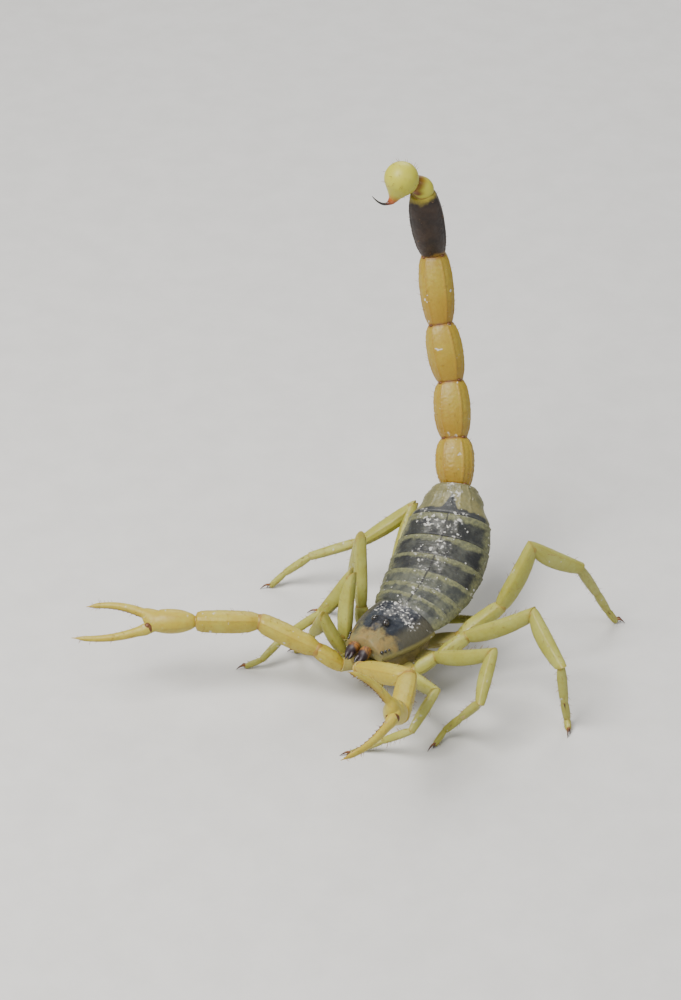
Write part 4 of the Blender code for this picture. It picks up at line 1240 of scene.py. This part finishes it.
def telson(joint, tail_axis, shell, point_finish, skin, hairs, rng):
    """Venom bulb, bulging upward because the tail is folded over, and its sting."""
    forward = direction(TELSON_HEADING, 0.0)
    across = UP_AXIS.cross(forward)

    def bulb_ring(ahead, above, radius, lean, sides=44):
        """Circle round a point of the upright plane, square to a leaning line."""
        steep = math.radians(lean)
        rise = UP_AXIS * math.cos(steep) - forward * math.sin(steep)
        middle = joint + forward * ahead + UP_AXIS * above
        ring = []
        for angle in round_angles(sides):
            swell = squarish(angle, 2.1) * (1.0 + 0.012 * math.cos(angle * 3.0))
            ring.append(middle + (across * math.cos(angle) + rise * math.sin(angle)) * radius * swell)
        return ring

    steep = math.radians(BULB_LEAN)

    def station_ring(level, radius, sides=44):
        """Circle at a distance from the bulb's centre along its axis."""
        ahead = BULB_CENTRE[0] + math.cos(steep) * level
        return bulb_ring(ahead, BULB_CENTRE[1] + math.sin(steep) * level, radius, BULB_LEAN, sides)

    # Centre of the crease where the neck enters the bulb; the bulb gets painted shade in a band round it.
    crease = joint + forward * 0.95 + UP_AXIS * 1.50
    stations = bulb_stations()
    rings, paints = [], []
    for level, radius in stations:
        ring = station_ring(level, radius)
        share = (level + BULB_RADIUS) / (BULB_TAPER[-1][0] + BULB_RADIUS)
        rings.append(ring)
        paints.append([(share, 0.5, bump((p - crease).length - 1.02, 0.34), 1.0) for p in ring])
    bulb = Shape()
    bulb.loft(rings, paints)
    rings, paints = [], []
    for share in shares(24):
        ring = bulb_ring(*curve_rows(BULB_NECK, share))
        rings.append(ring)
        # Painted shade on the neck: its end in the bulb's crease and its underside. The slight darkening at
        # its root is the tail joint's own dark colour.
        warm = 0.25 * (1.0 - smooth(share / 0.2)) + 0.9 * smooth((share - 0.66) / 0.26)
        late = smooth((share - 0.25) / 0.35)
        paint = []
        for angle in round_angles(len(ring)):
            under = smooth((-math.sin(angle) - 0.1) / 0.7) * late
            paint.append((0.3, 0.5, min(1.0, max(warm, under)), 1.0))
        paints.append(paint)
    bulb.loft(rings, paints)
    for row in range(4):
        ring = station_ring(*stations[int(len(stations) * (0.42 + 0.13 * row))], GRANULE_SIDES)
        for step in range(9):
            angle = math.radians(205.0 + 130.0 * step / 8.0)
            spot = ring[int(round(angle / (2.0 * math.pi) * GRANULE_SIDES)) % GRANULE_SIDES]
            bulb.ball(spot, UP_AXIS, 0.07, 0.8, (0.5, 0.5, 0.3, 1.0), 8, 5)
    bulb.finish("bulb_shell", shell, ["venom_bulb"], "lemon")
    rings = []
    for share in shares(34):
        rest = 1.0 - share
        ahead, above = [
            rest ** 2 * start + 2.0 * share * rest * bend + share ** 2 * tip
            for start, bend, tip in zip(STING_START, STING_BEND, STING_TIP)
        ]
        run, rise = [
            rest * (bend - start) + share * (tip - bend)
            for start, bend, tip in zip(STING_START, STING_BEND, STING_TIP)
        ]
        size = 0.03 + 0.20 * rest ** 0.7 + 0.27 * (1.0 - smooth(share / 0.34))
        rings.append(bulb_ring(ahead, above, size, math.degrees(math.atan2(rise, run)), 20))
    point = Shape()
    point.plain_loft(rings)
    point.finish("sting_point", point_finish, ["sting"], "claw")
    hair = Shape()
    centre = joint + forward * BULB_CENTRE[0] + UP_AXIS * BULB_CENTRE[1]
    for _ in range(46):
        aim = Vector((rng.gauss(0, 1), rng.gauss(0, 1), rng.gauss(0, 1))).normalized()
        lean = (aim + forward * 0.5).normalized()
        place = (0.5 + math.atan2(aim.y, aim.x) / (2.0 * math.pi), 0.5 + math.asin(aim.z) / math.pi)
        hair.hair(centre + aim * (BULB_RADIUS - 0.04), lean, rng.uniform(0.4, 0.8), place)
    hair.finish("bulb_bristles", hairs, ["venom_bulb"], "claw")
    ring = Shape()
    ring.ball(joint, tail_axis, 1.2, 0.6, PLAIN, 32, 14)
    ring.finish("bulb_joint", skin, ["venom_bulb"], "amber")


def bulb_stations():
    """Rings of the bulb, round first and then tapered: distance from its centre, radius."""
    turns, straight = 34, 22
    stations = []
    for share in shares(turns):
        angle = math.pi * (0.03 + 0.64 * share)
        stations.append((-BULB_RADIUS * math.cos(angle), BULB_RADIUS * math.sin(angle)))
    taper = (stations[-2], stations[-1]) + BULB_TAPER
    start = stations[-1][0]
    for share in shares(straight)[1:]:
        level = start + (BULB_TAPER[-1][0] - start) * share
        stations.append((level, curve_rows(taper, level)[0]))
    return stations


# Legs


def leg_form(thick, high, far):
    """Sizes along a leg piece: a narrow neck, fullest near the first third, a cup at the far joint."""
    rows = ((0.0, 0.66), (0.05, 0.78), (0.14, 0.90), (0.34, 1.0), (0.6, 0.98), (0.84, 0.5 + 0.5 * far))
    rows += ((0.94, 0.2 + 0.8 * far), (1.0, far))
    return [(share, 0.5 * thick * size, 0.5 * high * size) for share, size in rows]


def leg(side, number, finishes, rng):
    """One leg: six hard pieces, soft joints, bristles, spurs and a pair of claws."""
    lengths = [length for length, _, _ in LEGS[(side, number)]]
    steps = [body_direction(side, turn, climb) for _, turn, climb in LEGS[(side, number)]]
    ahead, out, above = HIPS[number]
    joints = [on_body(ahead, SIDES[side] * out, above)]
    for length, step in zip(lengths, steps):
        joints.append(joints[-1] + step * length)
    joints[6].z = TOE_LEVEL
    steps[5] = (joints[6] - joints[5]).normalized()
    hip = (joints[0] - hip_start(side, number)).normalized()
    planes = [joint_plane(before, after) for before, after in zip([hip] + steps[:5], steps)] + [steps[5]]
    hint = UP_AXIS.cross(joints[3] - joints[0])
    thick = LEG_THICKNESS[number]
    tag = f"{side}_{number}"
    hair = Shape()
    soft = Shape()
    for part, name in enumerate(LEG_PARTS):
        wide, high = thick * LEG_WIDTHS[part], thick * LEG_HEIGHTS[part]
        slimmer = LEG_WIDTHS[min(part + 1, 5)] / LEG_WIDTHS[part]
        form = leg_form(wide, high, min(0.82, 1.10 * slimmer))
        if part == 5:
            form = [row for row in form if row[0] < 0.9] + [(1.0, TOE_RADIUS, TOE_RADIUS)]
        ends = (joints[part], joints[part + 1], planes[part], planes[part + 1])
        long_part = part in (1, 2)
        keels = ((50, 90, 130, 230, 310), (40, 90, 140, 270))[part > 2]
        shell = Shape()
        tube(shell, ends, hint, form, 60 if long_part else 38, 44, 2.4, keels, 8.0,
             0.05 if part < 3 else 0.03, int(lengths[part] * 3.0), hollow=0.02, rough=0.015, close=0.03,
             bow=0.03 * lengths[part] if long_part else 0.0, enter=0.14 if part else 0.0)
        for point in shell.points:
            point.z = max(point.z, 0.0)
        shell.finish(f"leg_{name}_{tag}", finishes["leg"], [f"leg_{tag}_{LEG_NODES[part]}"], "lemon")
        count = int(lengths[part] * (3.0 if part < 3 else 6.0))
        strip = (part / 6.0, (part + 1) / 6.0)
        bristles(hair, ends, hint, form, count, 0.75 if part < 4 else 0.6, rng, strip=strip)
        size = 0.445 * min(wide, high) if part else 0.42 * thick
        soft.ball(joints[part], planes[part], size, 0.95, PLAIN, 24, 14)
    nodes = [f"leg_{tag}_{name}" for name in ("thigh", "knee", "shin")]
    soft.finish(f"leg_joints_{tag}", finishes["joint"], nodes, "lemon")
    foot(side, number, joints, steps, hint.normalized(), finishes["claw"])
    hair.finish(f"leg_bristles_{tag}", finishes["hair"], nodes, "claw")


def spine(shape, points, radii):
    """Tapered curved point through three places."""
    table = [(0.5 * index, *point, radius) for index, (point, radius) in enumerate(zip(points, radii))]
    spots = [curve_rows(table, share) for share in shares(14)]
    centres = [Vector(spot[:3]) for spot in spots]
    rings = []
    for row, centre in enumerate(centres):
        radius = spots[row][3]
        axis = (centres[min(row + 1, len(centres) - 1)] - centres[max(row - 1, 0)]).normalized()
        side, up = cross_frame(axis, ODD_HINT)
        ring = oval(centre, side * radius, up * radius, 12)
        for point in ring:
            point.z = max(point.z, 0.0)
        rings.append(ring)
    shape.plain_loft(rings, round_ends=False)


def foot(side, number, joints, steps, across, finish):
    """Pair of claws and a small middle claw at the toe, and the spurs higher up."""
    shape = Shape()
    level = Vector((steps[5].x, steps[5].y, 0.0)).normalized()
    root = joints[6] - steps[5] * 0.35
    for sign in (-1.0, 1.0):
        bend = root + level * 0.6 + across * sign * 0.22 + UP_AXIS * 0.12
        tip = root + level * 1.15 + across * sign * 0.42
        tip.z = 0.05
        spine(shape, [root, bend, tip], (0.15, 0.12, 0.02))
    low = root + level * 0.45
    low.z = 0.05
    spine(shape, [root, (root + low) * 0.5, low], (0.10, 0.07, 0.02))
    pedal = joints[5] - steps[4] * 0.2
    for sign in (-1.0, 1.0):
        tip = pedal + steps[5] * 0.55 + across * sign * 0.35 - UP_AXIS * 0.12
        tip.z = max(tip.z, 0.06)
        spine(shape, [pedal, (pedal + tip) * 0.5 + across * sign * 0.05, tip], (0.12, 0.09, 0.02))
    if number >= 3:
        heel = joints[4] - steps[3] * 0.35
        spur = heel + steps[3] + level * 0.5
        spur.z = max(spur.z, 0.5)
        spine(shape, [heel, (heel + spur) * 0.5, spur], (0.2, 0.13, 0.03))
    shape.finish(f"leg_claws_{side}_{number}", finish, [f"leg_{side}_{number}_shin"], "claw")


# Pedipalps


def palp(side, finishes, rng):
    """One pedipalp: arm pieces with keels, the hand and both fingers."""
    sign = SIDES[side]
    steps = [body_direction(side, turn, climb) for _, turn, climb in PALP_PIECES[side]]
    joints = [on_body(PALP_ROOT[0], sign * PALP_ROOT[1], PALP_ROOT[2])]
    for (length, _, _), step in zip(PALP_PIECES[side], steps):
        joints.append(joints[-1] + step * length)
    hip = (joints[0] - palp_start(side)).normalized()
    planes = [joint_plane(before, after) for before, after in zip([hip] + steps[:3], steps)]
    hair = Shape()
    soft = Shape()
    knobs = Shape()
    nodes = [f"palp_{side}_{name}" for name in PALP_PARTS + ("hand", "finger")]
    for part, name in enumerate(PALP_PARTS):
        half = 0.5 * PALP_WIDTHS[part]
        form = [(share, half * size, half * size) for share, size in PALP_PROFILES[part]]
        ends = (joints[part], joints[part + 1], planes[part], planes[part + 1])
        hint = UP_AXIS.cross(steps[part])
        shell = Shape()
        length = PALP_PIECES[side][part][0]
        tube(shell, ends, hint, form, 90, 76, 2.5, (40, 90, 140, 220, 320), 5.0, 0.05,
             int(length * 3.4), hollow=0.03, rough=0.018, close=0.03, enter=0.12 if part else 0.0)
        shell.finish(f"palp_{name}_{side}", finishes["palp"], [f"palp_{side}_{name}"], "amber")
        strip = (part / 5.0, (part + 1) / 5.0)
        bristles(hair, ends, hint, form, int(length * 5), 0.8, rng, strip=strip)
        soft.ball(joints[part], planes[part], 0.78 * half, 0.9, PLAIN, 28, 14)
    soft.ball(joints[3], planes[3], 0.70, 0.9, PLAIN, 28, 14)
    hand(side, joints[3], steps[3], finishes, knobs, hair, rng)
    soft.finish(f"palp_joints_{side}", finishes["palp_joint"], nodes, "amber")
    knobs.finish(f"finger_joint_{side}", finishes["knob"], nodes[-2:], "amber")
    hair.finish(f"palp_bristles_{side}", finishes["hair"], nodes, "claw")


def hand(side, wrist, axis, finishes, soft, hair, rng):
    """Hand that runs on into its fixed finger as one shell, and the movable finger beside it."""
    length = PALP_PIECES[side][3][0]
    fixed_step, moving_step = [body_direction(side, turn, climb) for _, turn, climb in FINGERS[side]]
    fixed_length, moving_length = FINGERS[side][0][0], FINGERS[side][1][0]
    opening = fixed_step - moving_step
    opening = (opening - axis * opening.dot(axis)).normalized()
    across = axis.cross(opening)
    nodes = [f"palp_{side}_hand", f"palp_{side}_finger"]
    root = wrist + axis * length + opening * 0.67
    fixed = finger_line(root - fixed_step * 0.5, fixed_step, fixed_length + 0.5, opening)
    shell = hand_shell(hand_stations(wrist, axis, length, opening, fixed, fixed_step), opening)
    shell.finish(f"palp_hand_{side}", finishes["hand"], nodes[:1], "amber")
    moving_out = (-opening - moving_step * -opening.dot(moving_step)).normalized()
    base = wrist + axis * (length * 0.98 + GAP) - opening * (0.31 * PALP_WIDTHS[3])
    moving_root = base - moving_step * FINGER_SUNK
    moving = finger_line(moving_root, moving_step, moving_length + FINGER_SUNK, moving_out)
    movable = moving_shell(moving, moving_step, across, moving_out)
    movable.finish(f"palp_moving_finger_{side}", finishes["hand"], nodes[1:], "amber")
    teeth = Shape()
    fingers = ((fixed, opening, fixed_step, 0.6), (moving, moving_out, moving_step, 0.8))
    for line, outward, step, strip_start in fingers:
        denticles(teeth, line, outward, step, across)
        finger_hairs(hair, line, step, across, rng, (strip_start, strip_start + 0.2))
    teeth.finish(f"palp_teeth_{side}", finishes["tooth"], nodes, "claw")
    for sign in (-1.0, 1.0):
        knob = base - moving_step * 0.25 + across * (sign * 0.50)
        soft.ball(knob, across, 0.36, 0.75, PLAIN, 20, 12)
    core = base - moving_step * 0.45 + moving_out * 0.1
    soft.ball(core, moving_step, 0.68, 0.75, PLAIN, 24, 14)


def hand_stations(wrist, axis, length, opening, fixed, fixed_step):
    """Rings of the hand and its fixed finger: centre, half height, half thickness, tone."""
    stations = []
    for share in [0.01 + 0.75 * step for step in shares(30)]:
        high, low, thick = curve_rows(HAND_FORM, share)
        middle = wrist + axis * (length * share) + opening * (0.5 * (high + low))
        stations.append((middle, 0.5 * (high - low), thick, 0.10 + 0.45 * share))
    middle, open_size, flat_size, _ = stations[-1]
    knuckle, finger_size = fixed(FINGER_SHOWS)
    stride = (knuckle - middle).length
    for row in range(1, 18):
        part = row / 18.0
        square, cube = part * part, part ** 3
        spot = middle * (2.0 * cube - 3.0 * square + 1.0) + axis * (stride * (cube - 2.0 * square + part))
        spot += knuckle * (3.0 * square - 2.0 * cube) + fixed_step * (stride * (cube - square))
        bulge = 0.10 * math.sin(math.pi * part)
        open_half = open_size + (finger_size - open_size) * part ** 1.25 + bulge
        flat_half = flat_size + (FINGER_FLATNESS * finger_size - flat_size) * part ** 1.1
        stations.append((spot, open_half, flat_half, 0.44 + 0.06 * part))
    for step in shares(62):
        share = FINGER_SHOWS + (1.0 - FINGER_SHOWS) * step
        spot, size = fixed(share)
        stations.append((spot, size, FINGER_FLATNESS * size, 0.5 + 0.5 * share))
    return stations


def hand_shell(stations, up):
    """Skin through the stations of a hand, keeled where it is fleshy."""
    rings, paints = [], []
    for index, (spot, open_half, flat_half, tone) in enumerate(stations):
        before, after = stations[max(index - 1, 0)][0], stations[min(index + 1, len(stations) - 1)][0]
        tangent = (after - before).normalized()
        up = (up - tangent * up.dot(tangent)).normalized()
        wide = tangent.cross(up)
        fleshy = 1.0 - smooth((tone - 0.36) / 0.14)
        ring, paint = [], []
        for angle in round_angles(48):
            swell = squarish(angle, 2.0 + 0.25 * fleshy)
            keel = max(bump(math.degrees(angle) - place, 6.0) for place in HAND_KEELS)
            keel *= fleshy * smooth((tone - 0.14) / 0.1)
            swell *= 1.0 + 0.03 * keel
            offset = wide * (flat_half * swell * math.cos(angle)) + up * (open_half * swell * math.sin(angle))
            inner = max(0.0, -math.sin(angle)) ** 8 * smooth((tone - 0.56) / 0.06)
            ring.append(spot + offset)
            paint.append((tone, 0.5 + 0.5 * math.sin(angle), max(0.4 * keel, inner), 1.0))
        rings.append(ring)
        paints.append(paint)
    shell = Shape()
    shell.loft(rings, paints)
    return shell


def moving_shell(moving, step, across, outward):
    """Skin of the movable finger, swollen near its root and painted along its inner edge."""
    wide, high = cross_frame(step, across)
    rings, paints = [], []
    for share in shares(76):
        spot, size = moving(share)
        size *= 1.0 + 0.22 * bump(share - 0.12, 0.07)
        ring, paint = [], []
        for angle in round_angles(32):
            offset = wide * (0.9 * size * math.cos(angle)) + high * (size * math.sin(angle))
            inner = max(0.0, -offset.dot(outward) / size) ** 8 * smooth((share - 0.16) / 0.06)
            ring.append(spot + offset)
            paint.append((0.5 + 0.5 * share, 0.5 + 0.5 * math.sin(angle), inner, 1.0))
        rings.append(ring)
        paints.append(paint)
    shell = Shape()
    shell.loft(rings, paints)
    return shell


def finger_line(base, step, length, outward):
    """Function that gives the centre and half thickness of a bowed finger at a share of its length."""
    outward = (outward - step * outward.dot(step)).normalized()

    def at(share):
        """Centre and half thickness at one share."""
        bow = FINGER_BOW * (math.sin(math.pi * share) - 0.9 * share ** 3)
        size = 0.5 * FINGER_THICKNESS * (1.0 - 0.60 * share ** 1.2)
        size *= 1.0 - 0.86 * smooth((share - 0.84) / 0.16)
        return base + step * (length * share) + outward * bow, max(size, 0.05)

    return at


def denticles(teeth, line, outward, step, across):
    """Oblique rows of tiny teeth along the inner edge of a finger, each with a larger one at its end."""
    outward = (outward - step * outward.dot(step)).normalized()
    wide, _ = cross_frame(step, across)
    groups, each = 11, 6
    for group in range(groups):
        for number in range(each):
            share = 0.18 + 0.78 * (group + (number + 0.2) / each * 0.86) / groups
            middle, size = line(share)
            slide = wide * (size * 0.28 * (number / (each - 1) - 0.5))
            radius = (0.085 if number == each - 1 else 0.055) * (1.0 - 0.4 * share)
            root = middle - outward * (size * 0.97) + slide
            teeth.ball(root, -outward, radius, 1.25, (0.6, 0.5, 0.0, 1.0), 7, 5)


def finger_hairs(hair, line, step, across, rng, strip):
    """A few fine hairs along a finger."""
    wide, high = cross_frame(step, across)
    for _ in range(26):
        share = rng.uniform(0.2, 0.95)
        middle, size = line(share)
        angle = rng.uniform(0.0, 2.0 * math.pi)
        away = wide * math.cos(angle) + high * math.sin(angle)
        place = (strip[0] + (strip[1] - strip[0]) * share, angle / (2.0 * math.pi))
        hair.hair(middle + away * size * 0.9, (away + step * 0.7).normalized(), rng.uniform(0.35, 0.7), place)


# Stage


def camera():
    """Camera at the photo's place, looking down on the animal from in front."""
    drop = math.radians(CAMERA_DROP)
    ahead = Vector((0.0, math.cos(drop), -math.sin(drop)))
    upward = Vector((0.0, math.sin(drop), math.cos(drop)))
    right = Vector((1.0, 0.0, 0.0))
    aside = (AIM_PIXEL[0] - 0.5 * IMAGE_SIZE[0]) / PIXELS_PER_UNIT
    below = (0.5 * IMAGE_SIZE[1] - AIM_PIXEL[1]) / PIXELS_PER_UNIT
    target = Vector((PROSOMA_CENTRE.x, PROSOMA_CENTRE.y, 0.0)) + AIM_OFFSET
    data = bpy.data.cameras.new("photo_camera")
    data.sensor_fit = "VERTICAL"
    data.sensor_height = SENSOR_HEIGHT
    data.lens = SENSOR_HEIGHT * PIXELS_PER_UNIT / IMAGE_SIZE[1]
    data.clip_start = 0.01
    item = bpy.data.objects.new("photo_camera", data)
    item.location = (target - (ahead + right * aside + upward * below) * CAMERA_REACH) * MM
    item.rotation_euler = (math.radians(90.0 - CAMERA_DROP), 0.0, 0.0)
    bpy.context.scene.collection.objects.link(item)
    bpy.context.scene.camera = item


def lamp(name, place, aim, size, power, colour):
    """Soft square studio light."""
    data = bpy.data.lights.new(name, "AREA")
    data.energy = power
    data.size = size
    data.color = colour
    item = bpy.data.objects.new(name, data)
    item.location = place
    item.rotation_euler = (Vector(aim) - Vector(place)).to_track_quat("-Z", "Y").to_euler()
    bpy.context.scene.collection.objects.link(item)


def studio():
    """Pale floor, a large soft key light from the upper left, and gentle fills."""
    mesh = bpy.data.meshes.new("floor")
    reach = 3.0
    corners = [(-reach, -reach, 0.0), (reach, -reach, 0.0), (reach, reach, 0.0), (-reach, reach, 0.0)]
    mesh.from_pydata(corners, [], [(0, 1, 2, 3)])
    mesh.materials.append(floor_finish())
    ground = bpy.data.objects.new("floor", mesh)
    bpy.context.scene.collection.objects.link(ground)
    middle = (0.0, 0.0, 0.015)
    lamp("key_light", (-0.16, -0.10, 0.34), middle, 0.24, 2.9, (1.0, 0.98, 0.95))
    lamp("fill_light", (0.30, -0.18, 0.22), middle, 0.30, 0.5, (0.94, 0.97, 1.0))
    lamp("back_light", (0.05, 0.34, 0.26), middle, 0.24, 0.8, (1.0, 1.0, 1.0))
    world = bpy.data.worlds.new("soft_grey")
    world.use_nodes = True
    world.node_tree.nodes["Background"].inputs["Color"].default_value = (0.80, 0.83, 0.88, 1.0)
    world.node_tree.nodes["Background"].inputs["Strength"].default_value = 0.26
    bpy.context.scene.world = world


def build():
    """Makes the camera, the studio and every piece of the scorpion."""
    camera()
    studio()
    rng = random.Random(7)
    amber = shell_finish("amber_shell", (0.32, 0.215, 0.014), (0.24, 0.115, 0.006), (0.35, 0.26, 0.026),
                         (0.17, 0.055, 0.008), 0.05, 0.5, dust=0.05, edge_share=0.7)
    palp_shell = shell_finish("palp_shell", (0.38, 0.295, 0.024), (0.30, 0.185, 0.010), (0.43, 0.37, 0.050),
                              (0.26, 0.13, 0.012), 0.06, 0.2)
    leg_shell = shell_finish("leg_shell", (0.31, 0.30, 0.046), (0.25, 0.20, 0.018), (0.37, 0.37, 0.085),
                             (0.26, 0.16, 0.018), 0.06, 0.1)
    hand_shell = shell_finish("hand_shell", (0.39, 0.295, 0.022), (0.28, 0.125, 0.008), (0.43, 0.365, 0.050),
                              (0.26, 0.10, 0.010), 0.08)
    belly = shell_finish("belly_shell", (0.34, 0.29, 0.080), (0.25, 0.19, 0.040), (0.40, 0.36, 0.12),
                         (0.26, 0.20, 0.06), 0.08)
    eye = eye_finish()
    hairs = hair_finish()
    claw = claw_finish("claw_shell", (0.26, 0.10, 0.02), (0.05, 0.015, 0.008))
    tooth = claw_finish("tooth_shell", (0.14, 0.03, 0.012), (0.09, 0.02, 0.01))
    pincer = chelicera_finish()
    joint = membrane_finish("leg_membrane", (0.32, 0.24, 0.034), (0.24, 0.16, 0.020))
    palp_joint = membrane_finish("palp_membrane", (0.32, 0.20, 0.024), (0.24, 0.13, 0.015))
    knob = membrane_finish("knob_shell", (0.13, 0.045, 0.008), (0.09, 0.030, 0.006))
    soft_skin = membrane_finish("side_membrane", (0.24, 0.215, 0.090), (0.15, 0.135, 0.060))
    breast_skin = membrane_finish("breast_membrane", (0.22, 0.17, 0.045), (0.14, 0.105, 0.030))
    dark = dark_finish()
    carapace(shield_finish(), eye)
    chelicerae(pincer, claw_finish("pincer_tip", (0.030, 0.011, 0.010), (0.012, 0.005, 0.005)))
    underside(belly, breast_skin)
    frames = back_frames()
    fore = back_finish("fore_back_shell", (0.036, 0.039, 0.035), (0.100, 0.104, 0.074), 0.60)
    rear = back_finish("back_shell", (0.018, 0.019, 0.019), (0.056, 0.058, 0.048), 0.66)
    hind_body(frames, fore, rear, last_back_finish(), belly, soft_skin, dark)
    pectines(leg_shell)
    tail(frames, amber, dark, knob, palp_joint, bulb_finish(), sting_finish(), hairs, rng)
    finishes = {"leg": leg_shell, "joint": joint, "claw": claw, "hair": hairs, "palp": palp_shell,
                "palp_joint": palp_joint, "hand": hand_shell, "tooth": tooth, "knob": knob}
    for side in SIDES:
        palp(side, finishes, rng)
        for number in HIPS:
            leg(side, number, finishes, rng)


build()
